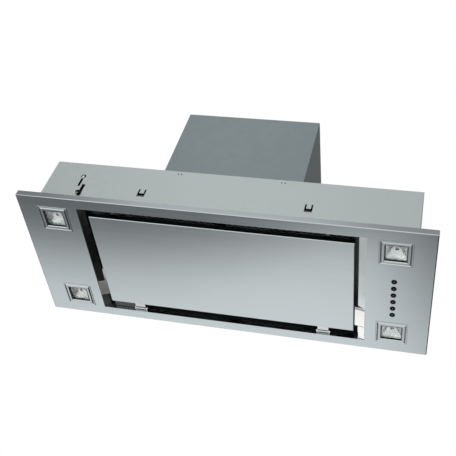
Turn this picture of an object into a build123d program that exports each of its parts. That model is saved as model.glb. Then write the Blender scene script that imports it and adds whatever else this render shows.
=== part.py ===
from build123d import *
import os
from math import atan2, cos, degrees, hypot, radians, sin

# A ceiling range hood that drops into a cut-out, with a hinged panel that draws air round its edges.
# Millimetres. X to the right, Y to the rear, Z up. The origin is the centre of the cut-out on the
# face of the ceiling: the upper face of the plate's lip lies on z = 0 and the housing stands above.

os.makedirs("parts", exist_ok=True)

# ---- Driving dimensions --------------------------------------------------------------------------

# Face plate: a pressed tray with its rim folded up to the ceiling
PLATE_W = 860.0
PLATE_D = 356.0
PLATE_H = 13.0
STEEL = 1.0             # sheet of the plate, the panel and all housing work
PLATE_FOLD = 2.0        # outer radius of the fold along the rim
PLATE_CORNER = 2.5
LIP = 9.0               # width of the flat lip that lies on the ceiling
OPEN_END = 131.5        # from an end of the plate to the air opening
OPEN_SIDE = 25.5        # from a long edge of the plate to the air opening
RETURN_H = 11.0         # upstand along the two long edges of the opening

# Hinged panel, with an air gap all round it
GAP_END = 23.0
GAP_FRONT = 19.0
GAP_REAR = 25.0         # wider, so that the hinges have room behind the panel
PANEL_H = 12.0
PANEL_FOLD = 1.6
BACKING_DROP = 1.0      # the backing lies this far below the edge of the skin
RIB_W = 12.0
RIB_RISE = 0.8
RIBS = 3

# Hinges
HINGE_END = 66.5        # from the panel's end to the middle of a hinge
HINGE_BACK = 6.5        # from the opening's rear edge to the pin
HINGE_UP = 6.0          # from the underside of the plate to the pin
PIN_R = 2.0
PIN_PLAY = 0.05
KNUCKLE_R = 3.5
LEAF_T = 1.5
LEAF_W = 23.4
EAR_T = 2.0
EAR_GAP = 0.3
PIN_HEAD_R = 3.0
PIN_HEAD_T = 1.0

# Spring catches that hold the front of the panel
CATCH_END = 53.5        # from the panel's end to a catch
BLADE_T = 1.5
BLADE_H = 5.0
BLADE_OUT = 10.4        # how far a blade stands out of the panel's front edge
BLADE_FOOT_W = 16.0
BLADE_FOOT_H = 9.0
CLIP_PLAY = 0.25
CLIP_T = 0.8
CLIP_REACH = 10.7
CLIP_H = 6.0

# Side deflectors: gently sloped strips along the two short edges of the opening
SLOPE_IN = 15.5
SLOPE_UP = 6.0
DEFLECTOR_FLANGE = 13.5
DEFLECTOR_CLEAR = 0.2

# Housing
RIM_END = 36.0          # how far the plate reaches past the housing at its ends
RIM_SIDE = 23.0         # and along its long edges
HOUSE_TOP = 130.0
HOUSE_CORNER = 1.5
HOUSE_FLANGE = 10.0     # foot flange that is fixed to the back of the plate
TAB_END = 218.6         # from the housing's end to a U-shaped cut that leaves a tongue in the wall
TAB_W = 16.4
TAB_TOP = 62.4
TAB_LOW = 40.0
TONGUE_W = 9.6
TONGUE_LOW = 50.0
SIDE_HOLE_R = 2.5       # four screw holes in each end wall
SIDE_HOLE_Y = 200.0
SIDE_HOLE_Z = 60.0
SIDE_HOLE_MID = 65.0

# Partitions between the air path and the two end compartments
PART_MARGIN = 2.5       # from the opening's end to the partition
PART_FLANGE = 10.0
PART_CLEAR = 0.4        # from the partition's ends to the long walls

# Side clamps: a hook slides up and down in a slot and grips the ceiling board
CLAMP_SLOT_END = 7.7    # from the partition to the middle of the hook's slot
CLAMP_SLOT_W = 7.2
CLAMP_SLOT_LOW = 25.4
CLAMP_SLOT_TOP = 62.0
GUIDE_SLOT_END = 10.5   # from there to the middle of the guide slot
GUIDE_SLOT_W = 5.0
GUIDE_SLOT_LOW = 55.3
GUIDE_SLOT_TOP = 79.7
CLAMP_SCREW_Z = 85.0
CLAMP_SCREW_R = 3.3
CLAMP_HEAD_OUT = 1.0    # the head stands this far in front of the wall, inside its round hole
CLAMP_SHANK_R = 2.0
CLAMP_HOLE_R = 5.6
CLAMP_HOLE_RISE = 2.0
HOOK_W = 5.6
HOOK_LOW = 31.0
HOOK_H = 8.0
HOOK_OUT = 3.5          # reach of the hook in front of the wall
HOOK_TIP_R = 4.6        # its round tip
HOOK_TIP_T = 3.0
HOOK_TIP_SET = 3.8      # from the middle of the slot to the middle of the tip
SLIDER_W = 8.0
SLIDER_T = 2.0
SLIDER_SET = 2.0        # from the wall to the slider behind it
SLIDER_LOW = 28.0
SLIDER_TOP = 76.0
KEEPER_SET = 8.0        # from the wall to the web of the keeper
KEEPER_GAP = 1.0        # from the partition to the keeper
KEEPER_W = 24.0
KEEPER_LOW = 20.0
KEEPER_TOP = 96.0

# Grease filters on a frame of four ledges
RAIL_TOP = 20.0         # height of the ledges that carry the filters
RAIL_WALL = 26.0
FRONT_LEDGE = 13.0
REAR_LEDGE = 16.0
END_LEDGE = 40.0
FILTER_END_LAP = 7.0    # how far a filter lies on the end ledge
FILTER_GAP = 3.0        # between the two filters
FILTER_H = 9.0
FILTER_BORDER = 9.0
FILTER_CORNER = 3.0
FILTER_FRONT_CLEAR = 1.5
FILTER_REAR_LAP = 7.0
MESH_T = 1.2
MESH_RISE = 3.0
MESH_GROOVE = 4.0
MESH_COLS = 10
MESH_ROWS = 7
MESH_HOLE_W = 17.0
MESH_HOLE_D = 13.5

# Filter latches: a sprung tongue with a finger grip
LATCH_W = 24.0
LATCH_T = 2.0
LATCH_LAP = 6.0         # how far the tongue reaches over the front ledge
LATCH_TRAVEL = 7.0
LATCH_PLAY = 0.2
GRIP_W = 40.0
GRIP_T = 3.0
GRIP_H = 12.0

# Lamps, one in each corner of the plate
LAMP_END = 76.0         # from the plate's end to the middle of a lamp
LAMP_SIDE = 60.0        # from the plate's long edge to the middle of a lamp
BEZEL_W = 66.0
BEZEL_EDGE = 0.5        # thickness of the frame at its outer edge
BEZEL_T = 1.9           # and where its outer slope ends
BEZEL_SLOPE_W = 4.3
BEZEL_CORNER = 1.5
GROOVE_W = 56.6         # narrow groove between the outer slope and the step
GROOVE_LEFT = 0.6       # thickness that is left over the groove
STEP_W = 54.8
STEP_T = 2.8
FUNNEL_W = 51.0         # the step falls to the glass from here
FUNNEL_END_W = 42.0
FUNNEL_T = 1.2
LENS_W = 41.0           # clear opening over the glass
GLASS_W = 45.0
GLASS_T = 2.5
GLASS_SET = 0.2         # the glass lies this far above the underside of the plate
GLASS_PLAY = 0.2
BODY_W = 55.0
BODY_WALL = 1.6
BODY_TOP = 6.0
LAMP_HOLE_PLAY = 0.5
SNAP_W = 12.0
SNAP_OUT = 1.6
SNAP_H = 5.0
REFLECTOR_W = 50.0
REFLECTOR_TOP_W = 18.0
REFLECTOR_H = 22.0
REFLECTOR_T = 0.8
BULB_R = 4.2
BULB_L = 15.0
BULB_HOLE_R = 5.2
HOLDER_W = 16.0
HOLDER_D = 12.0
HOLDER_H = 11.0

# Push buttons
BUTTONS = 6
BUTTON_END = 76.5       # from the plate's end to the row
BUTTON_Y = 10.8         # middle of the row
BUTTON_PITCH = 19.8
BUTTON_R = 5.5
BUTTON_PLAY = 0.3
BUTTON_PROUD = 1.0
BUTTON_DIMPLE_R = 1.7
BUTTON_DIMPLE_H = 0.5
BUTTON_TRAVEL = 2.0
BUTTON_FLANGE_R = 6.8
BUTTON_FLANGE_T = 1.5
STEM_R = 2.5
STEM_PLAY = 0.1
STEM_TOP = 3.0
POCKET_PLAY = 0.4
POCKET_TOP = 0.0
BLOCK_W = 27.0
BLOCK_MARGIN = 11.5
BLOCK_TOP = 9.0

# Motor box on top of the housing
BOX_W = 302.0
BOX_H = 209.0           # with its lid
BOX_FRONT = 5.0         # from the housing's front wall to the box's front wall
BOX_SPARE = 4.0         # behind the blower's outlet flange
BOX_FLANGE = 11.0
BOX_CORNER = 1.0

# Blower
BLOWER_BACK = 120.0     # from the box's front wall to the wheel's axis
BLOWER_DROP = 117.0     # from the lid to the wheel's axis
IMPELLER_R = 78.0
BLADE_ROOT_R = 64.0
BLADES = 26
VANE_T = 1.2
VANE_LEAN = 9.0         # degrees that a vane's tip runs ahead of its root
VANE_BOW = 3.0
IMPELLER_HALF = 66.0
RING_T = 2.0
RING_R = 79.0
DISC_T = 2.0
HUB_R = 12.0
HUB_HALF = 7.0
SHAFT_R = 4.0
SHAFT_PLAY = 0.05
SCROLL_HALF = 80.0
SCROLL_T = 1.0
SCROLL_START = 86.0     # radius at the cut-off
SCROLL_END = 118.0      # radius where the spiral runs into the outlet
CUTOFF_DEG = 120.0
SPIRAL_POINTS = 9
INLET_R = 62.0
OUTLET_FLANGE = 8.0
MOTOR_R = 45.0
MOTOR_FRONT = 10.0
BRACKET_T = 2.0
BRACKET_RING = 10.0
BRACKET_HUB_R = 30.0
BRACKET_ARM = 10.0
BRACKET_ARMS = 3

# Duct collar and back-draught flaps
DUCT_R = 75.0
DUCT_WALL = 2.0
DUCT_H = 47.0
COLLAR_FLANGE = 13.0
COLLAR_FLANGE_T = 3.0
FLAP_RISE = 13.0        # from the lid to the flap axle
AXLE_R = 2.0
AXLE_PLAY = 0.1
FLAP_T = 1.2
FLAP_CLEAR = 1.5        # between a flap and the duct
FLAP_KNUCKLE_R = 3.4
FLAP_SPLIT = 4.2        # from the axle to the straight edge of a flap
FLAP_KNUCKLES = 3
KNUCKLE_GAP = 0.4
STOP_OUT = 4.0
STOP_H = 3.0
STOP_PLAY = 0.3

# Electrical pieces in the end compartments
CONTROL_W = 40.0
CONTROL_D = 130.0
CONTROL_H = 45.0
CONTROL_LOW = 40.0
DRIVER_W = 38.0
DRIVER_D = 80.0
DRIVER_H = 30.0
DRIVER_LOW = 36.0
INLET_END = 44.0        # from the housing's right end to the gland
INLET_SIDE = 55.0       # from the housing's rear wall to the gland
INLET_PLATE_W = 60.0
INLET_PLATE_T = 1.5
INLET_CUT = 40.0
GLAND_BORE_R = 4.5
GLAND_THREAD_R = 8.0
GLAND_HEX = 24.0
GLAND_HEX_H = 5.0
GLAND_DOME_R = 10.5
GLAND_DOME_H = 11.0
GLAND_TAIL = 10.0
GLAND_FIT = 0.2

# ---- Levels and places that follow from them -----------------------------------------------------

UNDERSIDE = -PLATE_H                      # visible face of the plate and of the panel
PLATE_INNER = UNDERSIDE + STEEL           # back of the plate's sheet
HALF_OPEN_W = PLATE_W / 2 - OPEN_END
HALF_OPEN_D = PLATE_D / 2 - OPEN_SIDE
PANEL_W = 2 * (HALF_OPEN_W - GAP_END)
PANEL_FRONT = -HALF_OPEN_D + GAP_FRONT
PANEL_REAR = HALF_OPEN_D - GAP_REAR
PANEL_D = PANEL_REAR - PANEL_FRONT
PANEL_MID = (PANEL_FRONT + PANEL_REAR) / 2
PANEL_TOP = UNDERSIDE + PANEL_H
PANEL_FIT = PANEL_FOLD - STEEL            # the backing tray stays clear of the skin's fold
HINGE_X = PANEL_W / 2 - HINGE_END
HINGE_Y = HALF_OPEN_D - HINGE_BACK
HINGE_Z = UNDERSIDE + HINGE_UP
CATCH_X = PANEL_W / 2 - CATCH_END
HOUSE_W = PLATE_W - 2 * RIM_END
HOUSE_D = PLATE_D - 2 * RIM_SIDE
HOUSE_FRONT = -HOUSE_D / 2
WALL_INNER = HOUSE_D / 2 - STEEL          # inner face of the long walls, each side of y = 0
TOP_INNER = HOUSE_TOP - STEEL
TAB_X = HOUSE_W / 2 - TAB_END
PART_X = HALF_OPEN_W + PART_MARGIN        # inner face of each partition
CLAMP_SLOT_X = PART_X + CLAMP_SLOT_END
GUIDE_SLOT_X = CLAMP_SLOT_X + GUIDE_SLOT_END
FILTER_W = PART_X - END_LEDGE + FILTER_END_LAP - FILTER_GAP / 2
BOX_TOP = HOUSE_TOP + BOX_H
BOX_Y0 = HOUSE_FRONT + BOX_FRONT
BLOWER_Y = BOX_Y0 + BLOWER_BACK
BLOWER_Z = BOX_TOP - BLOWER_DROP
BOX_D = BLOWER_BACK + SCROLL_END + OUTLET_FLANGE + BOX_SPARE
BOX_Y1 = BOX_Y0 + BOX_D
BOX_MID = (BOX_Y0 + BOX_Y1) / 2
LID_LOW = BOX_TOP - STEEL
BODY_HOLE = BODY_W + 2 * LAMP_HOLE_PLAY
CUTOFF_Y = BLOWER_Y + SCROLL_START * cos(radians(CUTOFF_DEG))
DUCT_Y = (CUTOFF_Y + BLOWER_Y + SCROLL_END) / 2
AXLE_Z = BOX_TOP + FLAP_RISE
LAMP_X = PLATE_W / 2 - LAMP_END
LAMP_Y = PLATE_D / 2 - LAMP_SIDE
BUTTON_X = PLATE_W / 2 - BUTTON_END
INLET_X = HOUSE_W / 2 - INLET_END
INLET_Y = HOUSE_D / 2 - INLET_SIDE
LAMP_PLACES = {
    "front_left": (-LAMP_X, -LAMP_Y),
    "front_right": (LAMP_X, -LAMP_Y),
    "rear_left": (-LAMP_X, LAMP_Y),
    "rear_right": (LAMP_X, LAMP_Y),
}
SIDES = {"left": -1, "right": 1}


# ---- Helpers --------------------------------------------------------------------------------------

def slab(x0, x1, y0, y1, z0, z1):
    """Flat plate or block between two opposite corners."""
    corner = Pos(x0, y0, z0)
    return corner * Box(x1 - x0, y1 - y0, z1 - z0, align=(Align.MIN, Align.MIN, Align.MIN))


def rod(radius, start, end):
    """Round bar between two points."""
    axis = Vector(*end) - Vector(*start)
    return extrude(Plane(start, z_dir=axis) * Circle(radius), axis.length)


def block(width, depth, low, high, corner, fold=0.0, folded=0):
    """Block with rounded upright edges; its lower (0) or upper (-1) rim is rounded by fold."""
    solid = Pos(0, 0, low) * extrude(RectangleRounded(width, depth, corner), high - low)
    if fold > 0:
        solid = fillet(solid.edges().group_by(Axis.Z)[folded], fold)
    return solid


def frustum(low_width, high_width, low, high):
    """Square frustum round the Z axis."""
    slope = degrees(atan2((low_width - high_width) / 2, high - low))
    return Pos(0, 0, low) * extrude(Rectangle(low_width, low_width), high - low, taper=slope)


def strip(points, thickness):
    """Face of a folded strip: the given line on one side, its mitred offset on the left side."""
    far = []
    for i, (u, v) in enumerate(points):
        normals = []
        for a, b in ((i - 1, i), (i, i + 1)):
            if a >= 0 and b < len(points):
                du = points[b][0] - points[a][0]
                dv = points[b][1] - points[a][1]
                normals.append((-dv / hypot(du, dv), du / hypot(du, dv)))
        nu = sum(n[0] for n in normals) / len(normals)
        nv = sum(n[1] for n in normals) / len(normals)
        reach = thickness / (nu * nu + nv * nv)
        far.append((u + nu * reach, v + nv * reach))
    return make_face(Polyline(*points, *reversed(far), close=True))


def along_x(face, x0, x1):
    """Extrude a face drawn in Y and Z from x0 to x1."""
    return extrude(Plane((x0, 0, 0), x_dir=(0, 1, 0), z_dir=(1, 0, 0)) * face, x1 - x0)


def along_y(face, y0, y1):
    """Extrude a face drawn in X and Z from y0 to y1."""
    return extrude(Plane((0, y1, 0), x_dir=(1, 0, 0), z_dir=(0, -1, 0)) * face, y1 - y0)


def half_turn(shape):
    """The same piece on the opposite corner."""
    return Rot(0, 0, 180) * shape


def on_both_sides(shape, x):
    """Two copies of a piece modelled at x = 0, as separate solids."""
    return Compound(children=[Pos(-x, 0, 0) * shape, Pos(x, 0, 0) * shape])


# ---- Face plate -----------------------------------------------------------------------------------

def button_rows():
    """Y of each button, front to rear."""
    first = BUTTON_Y - (BUTTONS - 1) * BUTTON_PITCH / 2
    return [first + i * BUTTON_PITCH for i in range(BUTTONS)]


def face_plate():
    plate = block(PLATE_W, PLATE_D, UNDERSIDE, 0, PLATE_CORNER, PLATE_FOLD)
    inner_corner = PLATE_CORNER - STEEL
    inner_fold = PLATE_FOLD - STEEL
    plate -= block(PLATE_W - 2 * STEEL, PLATE_D - 2 * STEEL, PLATE_INNER, -STEEL, inner_corner, inner_fold)
    plate -= block(PLATE_W - 2 * LIP, PLATE_D - 2 * LIP, -2 * STEEL, STEEL, inner_corner)
    plate -= slab(-HALF_OPEN_W, HALF_OPEN_W, -HALF_OPEN_D, HALF_OPEN_D, UNDERSIDE - 1, 0)
    for sign in (-1, 1):
        near = sign * HALF_OPEN_D
        far = sign * (HALF_OPEN_D + STEEL)
        plate += slab(-HALF_OPEN_W, HALF_OPEN_W, min(near, far), max(near, far), UNDERSIDE, UNDERSIDE + STEEL + RETURN_H)
    hole = BODY_HOLE / 2
    for x, y in LAMP_PLACES.values():
        plate -= slab(x - hole, x + hole, y - hole, y + hole, UNDERSIDE - 1, 0)
    for y in button_rows():
        plate -= rod(BUTTON_R + BUTTON_PLAY, (BUTTON_X, y, UNDERSIDE - 1), (BUTTON_X, y, 0))
    return plate


def air_deflector(side):
    """Sloped strip that guides the air in at a short edge; its flange lies on the back of the plate."""
    outer = HALF_OPEN_W + DEFLECTOR_FLANGE
    line = [
        (HALF_OPEN_W - SLOPE_IN, PLATE_INNER + SLOPE_UP),
        (HALF_OPEN_W, PLATE_INNER),
        (outer, PLATE_INNER),
    ]
    face = strip(line, STEEL)
    reach = HALF_OPEN_D - DEFLECTOR_CLEAR
    piece = along_y(face, -reach, reach)
    return piece if side > 0 else mirror(piece, Plane.YZ)


# ---- Panel ----------------------------------------------------------------------------------------

def panel_skin():
    skin = block(PANEL_W, PANEL_D, UNDERSIDE, PANEL_TOP, PLATE_CORNER, PANEL_FOLD)
    skin -= block(PANEL_W - 2 * STEEL, PANEL_D - 2 * STEEL, PLATE_INNER, PANEL_TOP + 1,
                  PLATE_CORNER - STEEL, PANEL_FOLD - STEEL)
    return Pos(0, PANEL_MID, 0) * skin


def panel_backing():
    """Inner tray that faces down into the skin and makes a closed, stiff panel; ribs are pressed up."""
    width = PANEL_W - 2 * (STEEL + PANEL_FIT)
    depth = PANEL_D - 2 * (STEEL + PANEL_FIT)
    top = PANEL_TOP - BACKING_DROP
    corner = PLATE_CORNER - STEEL
    tray = block(width, depth, PLATE_INNER, top, corner)
    tray -= block(width - 2 * STEEL, depth - 2 * STEEL, PLATE_INNER - 1, top - STEEL, corner / 2)
    rib = extrude(SlotOverall(width - 2 * PLATE_H - 4 * RIB_W, RIB_W), RIB_RISE)
    for i in range(RIBS):
        y = (i - (RIBS - 1) / 2) * depth / RIBS
        tray += Pos(0, y, top) * rib
    return Pos(0, PANEL_MID, 0) * tray


def hinge_leaf(side):
    """Leaf on the panel's rear edge, with its end rolled round the pin."""
    low = HINGE_Z - KNUCKLE_R
    line = [(PANEL_REAR, PANEL_TOP - BACKING_DROP), (PANEL_REAR, low), (HINGE_Y, low)]
    x = side * HINGE_X
    leaf = along_x(strip(line, LEAF_T), x - LEAF_W / 2, x + LEAF_W / 2)
    ends = ((x - LEAF_W / 2, HINGE_Y, HINGE_Z), (x + LEAF_W / 2, HINGE_Y, HINGE_Z))
    leaf += rod(KNUCKLE_R, *ends)
    return leaf - rod(PIN_R + PIN_PLAY, *ends)


def hinge_bracket():
    """U-shaped bracket on the upstand behind the panel, drawn on the centre line."""
    back = HALF_OPEN_D - LEAF_T
    top = PLATE_INNER + RETURN_H
    ear_in = LEAF_W / 2 + EAR_GAP
    ear_out = ear_in + EAR_T
    low = HINGE_Z - KNUCKLE_R
    bracket = slab(-ear_out, ear_out, back, HALF_OPEN_D, low, top)
    outline = Pos(HINGE_Y, HINGE_Z) * Circle(KNUCKLE_R)
    outline += Pos((HINGE_Y + back) / 2, HINGE_Z) * Rectangle(back - HINGE_Y, 2 * KNUCKLE_R)
    outline -= Pos(HINGE_Y, HINGE_Z) * Circle(PIN_R)
    for x in (-ear_out, ear_in):
        bracket += along_x(outline, x, x + EAR_T)
    return bracket


def hinge_pin():
    half = LEAF_W / 2 + EAR_GAP + EAR_T
    pin = rod(PIN_R, (-half, HINGE_Y, HINGE_Z), (half, HINGE_Y, HINGE_Z))
    for x in (-half - PIN_HEAD_T, half):
        pin += rod(PIN_HEAD_R, (x, HINGE_Y, HINGE_Z), (x + PIN_HEAD_T, HINGE_Y, HINGE_Z))
    return pin


def catch_blade():
    """Flat blade on the panel's front edge that runs up between the leaves of a spring clip."""
    foot_low = UNDERSIDE + PANEL_FOLD + STEEL / 2
    foot = slab(-BLADE_FOOT_W / 2, BLADE_FOOT_W / 2, PANEL_FRONT - BLADE_T, PANEL_FRONT,
                foot_low, foot_low + BLADE_FOOT_H)
    top = foot_low + BLADE_FOOT_H
    blade = slab(-BLADE_T / 2, BLADE_T / 2, PANEL_FRONT - BLADE_OUT, PANEL_FRONT, top - BLADE_H, top)
    return foot + blade


def catch_clip():
    """Spring clip on the front upstand: two leaves, with the blade's thickness between them."""
    wall = -HALF_OPEN_D
    top = PLATE_INNER + RETURN_H
    inner = BLADE_T / 2 + CLIP_PLAY
    outer = inner + CLIP_T
    clip = slab(-outer, outer, wall, wall + CLIP_T, top - CLIP_H, top)
    for x in (-outer, inner):
        clip += slab(x, x + CLIP_T, wall, wall + CLIP_REACH, top - CLIP_H, top)
    return clip


# ---- Housing --------------------------------------------------------------------------------------

def slot_cut(x, width, low, top):
    """Cutter for an upright slot in the front wall."""
    return slab(x - width / 2, x + width / 2, HOUSE_FRONT - 1, HOUSE_FRONT + STEEL + 1, low, top)


def clamp_cuts():
    """Cutters for the hook slot, the guide slot and the screw hole of the front left clamp."""
    cuts = slot_cut(-CLAMP_SLOT_X, CLAMP_SLOT_W, CLAMP_SLOT_LOW, CLAMP_SLOT_TOP)
    cuts += slot_cut(-GUIDE_SLOT_X, GUIDE_SLOT_W, GUIDE_SLOT_LOW, GUIDE_SLOT_TOP)
    hole_z = CLAMP_SCREW_Z + CLAMP_HOLE_RISE
    cuts += rod(CLAMP_HOLE_R, (-GUIDE_SLOT_X, HOUSE_FRONT - 1, hole_z),
                (-GUIDE_SLOT_X, HOUSE_FRONT + STEEL + 1, hole_z))
    return cuts


def housing_shell():
    shell = block(HOUSE_W, HOUSE_D, PLATE_INNER, HOUSE_TOP, HOUSE_CORNER, HOUSE_CORNER, -1)
    foot = block(HOUSE_W + 2 * HOUSE_FLANGE, HOUSE_D + 2 * HOUSE_FLANGE, PLATE_INNER,
                 PLATE_INNER + STEEL, HOUSE_CORNER)
    shell += foot
    shell -= block(HOUSE_W - 2 * STEEL, HOUSE_D - 2 * STEEL, PLATE_INNER - 1, TOP_INNER,
                   HOUSE_CORNER - STEEL)
    window = BOX_FLANGE + STEEL
    shell -= slab(-BOX_W / 2 + window, BOX_W / 2 - window, BOX_Y0 + window, BOX_Y1 - window,
                  TOP_INNER - 1, HOUSE_TOP + 1)
    for x in (-TAB_X, TAB_X):
        around = slot_cut(x, TAB_W, TAB_LOW, TAB_TOP)
        tongue = slot_cut(x, TONGUE_W, TONGUE_LOW, TAB_TOP)
        shell -= around - tongue
    cuts = clamp_cuts()
    shell -= cuts
    shell -= half_turn(cuts)
    for y in (-SIDE_HOLE_Y / 2, SIDE_HOLE_Y / 2):
        for z in (SIDE_HOLE_MID - SIDE_HOLE_Z / 2, SIDE_HOLE_MID + SIDE_HOLE_Z / 2):
            shell -= rod(SIDE_HOLE_R, (-HOUSE_W / 2 - 1, y, z), (-HOUSE_W / 2 + STEEL + 1, y, z))
            shell -= rod(SIDE_HOLE_R, (HOUSE_W / 2 - STEEL - 1, y, z), (HOUSE_W / 2 + 1, y, z))
    cut = INLET_CUT / 2
    shell -= slab(INLET_X - cut, INLET_X + cut, INLET_Y - cut, INLET_Y + cut, TOP_INNER - 1, HOUSE_TOP + 1)
    return shell


def partition(side):
    """Folded wall between the air path and an end compartment."""
    low = PLATE_INNER + STEEL
    line = [
        (PART_X + PART_FLANGE, low),
        (PART_X, low),
        (PART_X, TOP_INNER),
        (PART_X + PART_FLANGE, TOP_INNER),
    ]
    face = strip(list(reversed(line)), STEEL)
    piece = along_y(face, -WALL_INNER + PART_CLEAR, WALL_INNER - PART_CLEAR)
    return piece if side > 0 else mirror(piece, Plane.YZ)


def side_clamp():
    """Sliding hook of the front left clamp: a slider behind the wall, a neck in the slot, a round tip."""
    x = -CLAMP_SLOT_X
    back = HOUSE_FRONT + STEEL + SLIDER_SET
    clamp = slab(x - SLIDER_W / 2, x + SLIDER_W / 2, back, back + SLIDER_T, SLIDER_LOW, SLIDER_TOP)
    tip_y = HOUSE_FRONT - HOOK_OUT
    clamp += slab(x - HOOK_W / 2, x + HOOK_W / 2, tip_y, back, HOOK_LOW, HOOK_LOW + HOOK_H)
    tip_x = x - HOOK_TIP_SET
    tip_z = HOOK_LOW + HOOK_H / 2
    return clamp + rod(HOOK_TIP_R, (tip_x, tip_y, tip_z), (tip_x, tip_y + HOOK_TIP_T, tip_z))


def clamp_keeper():
    """Channel behind the front left clamp that keeps the slider on the wall."""
    web = HOUSE_FRONT + STEEL + KEEPER_SET
    right = -PART_X - STEEL - KEEPER_GAP
    left = right - KEEPER_W
    keeper = slab(left, right, web, web + STEEL, KEEPER_LOW, KEEPER_TOP)
    for x in (left, right - STEEL):
        keeper += slab(x, x + STEEL, HOUSE_FRONT + STEEL, web, KEEPER_LOW, KEEPER_TOP)
    return keeper


def clamp_screw():
    """Pan-head screw of the front left clamp; its end meets the keeper."""
    x = -GUIDE_SLOT_X
    web = HOUSE_FRONT + STEEL + KEEPER_SET
    face = HOUSE_FRONT - CLAMP_HEAD_OUT
    seat = face + 2 * STEEL
    screw = rod(CLAMP_SHANK_R, (x, web, CLAMP_SCREW_Z), (x, face + STEEL, CLAMP_SCREW_Z))
    head = rod(CLAMP_SCREW_R, (x, seat, CLAMP_SCREW_Z), (x, face, CLAMP_SCREW_Z))
    head = chamfer(head.edges().group_by(Axis.Y)[0], STEEL)
    return screw + head


# ---- Filters --------------------------------------------------------------------------------------

def filter_rail(sign, ledge):
    """Angle on a long wall whose ledge carries the filters; sign is -1 for front and 1 for rear."""
    low = RAIL_TOP - STEEL
    line = [(-WALL_INNER, low + RAIL_WALL), (-WALL_INNER, low), (-WALL_INNER + ledge, low)]
    rail = along_x(strip(line, STEEL), -PART_X, PART_X)
    return rail if sign < 0 else mirror(rail, Plane.XZ)


def end_ledge(side):
    """Angle on a partition whose wide ledge closes the end of the filter frame."""
    low = RAIL_TOP - STEEL
    line = [(PART_X - END_LEDGE, low), (PART_X, low), (PART_X, low + RAIL_WALL)]
    face = strip(line, STEEL)
    piece = along_y(face, -WALL_INNER + FRONT_LEDGE, WALL_INNER - REAR_LEDGE)
    return piece if side > 0 else mirror(piece, Plane.YZ)


def filter_bounds():
    """Front and rear of a filter."""
    return -WALL_INNER + FRONT_LEDGE + FILTER_FRONT_CLEAR, WALL_INNER - REAR_LEDGE + FILTER_REAR_LAP


def filter_mid(side):
    """X of a filter's middle."""
    return side * (FILTER_GAP + FILTER_W) / 2


def filter_mesh(side):
    """Expanded sheet with rows of diamond openings, every other row shifted by half a pitch."""
    front, rear = filter_bounds()
    width = FILTER_W - 2 * (FILTER_BORDER - MESH_GROOVE)
    depth = rear - front - 2 * (FILTER_BORDER - MESH_GROOVE)
    open_w = FILTER_W - 2 * FILTER_BORDER
    open_d = rear - front - 2 * FILTER_BORDER
    pitch_x = open_w / (MESH_COLS + 0.5)
    pitch_y = open_d / (2 * MESH_ROWS)
    half_w = MESH_HOLE_W / 2
    half_d = MESH_HOLE_D / 2
    diamond = make_face(Polyline((-half_w, 0), (0, -half_d), (half_w, 0), (0, half_d), close=True))
    places = []
    for row in range(2 * MESH_ROWS):
        shift = pitch_x / 4 if row % 2 else -pitch_x / 4
        for col in range(MESH_COLS):
            x = (col - (MESH_COLS - 1) / 2) * pitch_x + shift
            places.append(Pos(x, (row - MESH_ROWS + 0.5) * pitch_y))
    sheet = Rectangle(width, depth) - [place * diamond for place in places]
    low = RAIL_TOP + MESH_RISE
    return Pos(filter_mid(side), (front + rear) / 2, low) * extrude(sheet, MESH_T)


def filter_frame(side):
    """Aluminium frame; a groove round its inside holds the mesh, a notch in front takes the latch."""
    front, rear = filter_bounds()
    mid = filter_mid(side)
    depth = rear - front
    frame = block(FILTER_W, depth, RAIL_TOP, RAIL_TOP + FILTER_H, FILTER_CORNER)
    frame -= block(FILTER_W - 2 * FILTER_BORDER, depth - 2 * FILTER_BORDER, RAIL_TOP - 1,
                   RAIL_TOP + FILTER_H + 1, FILTER_CORNER / 2)
    inset = FILTER_BORDER - MESH_GROOVE
    low = RAIL_TOP + MESH_RISE
    half = FILTER_W / 2 - inset
    frame -= slab(-half, half, -depth / 2 + inset, depth / 2 - inset, low, low + MESH_T)
    frame = Pos(mid, (front + rear) / 2, 0) * frame
    notch = LATCH_W / 2 + LATCH_PLAY
    notch_top = RAIL_TOP + LATCH_T + 2 * LATCH_PLAY
    return frame - slab(mid - notch, mid + notch, front - 1, front + FILTER_BORDER + 1, RAIL_TOP - 1, notch_top)


def filter_latch(side):
    """Tongue that lies on the front ledge, with the finger grip that pulls it back."""
    mid = filter_mid(side)
    front = filter_bounds()[0]
    low = RAIL_TOP + LATCH_PLAY
    tip = front - FILTER_FRONT_CLEAR - LATCH_LAP
    grip_y = front + FILTER_BORDER + GRIP_T
    latch = slab(mid - LATCH_W / 2, mid + LATCH_W / 2, tip, grip_y, low, low + LATCH_T)
    grip = slab(mid - GRIP_W / 2, mid + GRIP_W / 2, grip_y - GRIP_T, grip_y, low + LATCH_T - GRIP_H, low)
    grip = fillet(grip.edges().filter_by(Axis.Y).group_by(Axis.Z)[0], GRIP_T)
    return latch + grip


# ---- Lamps ----------------------------------------------------------------------------------------

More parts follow.
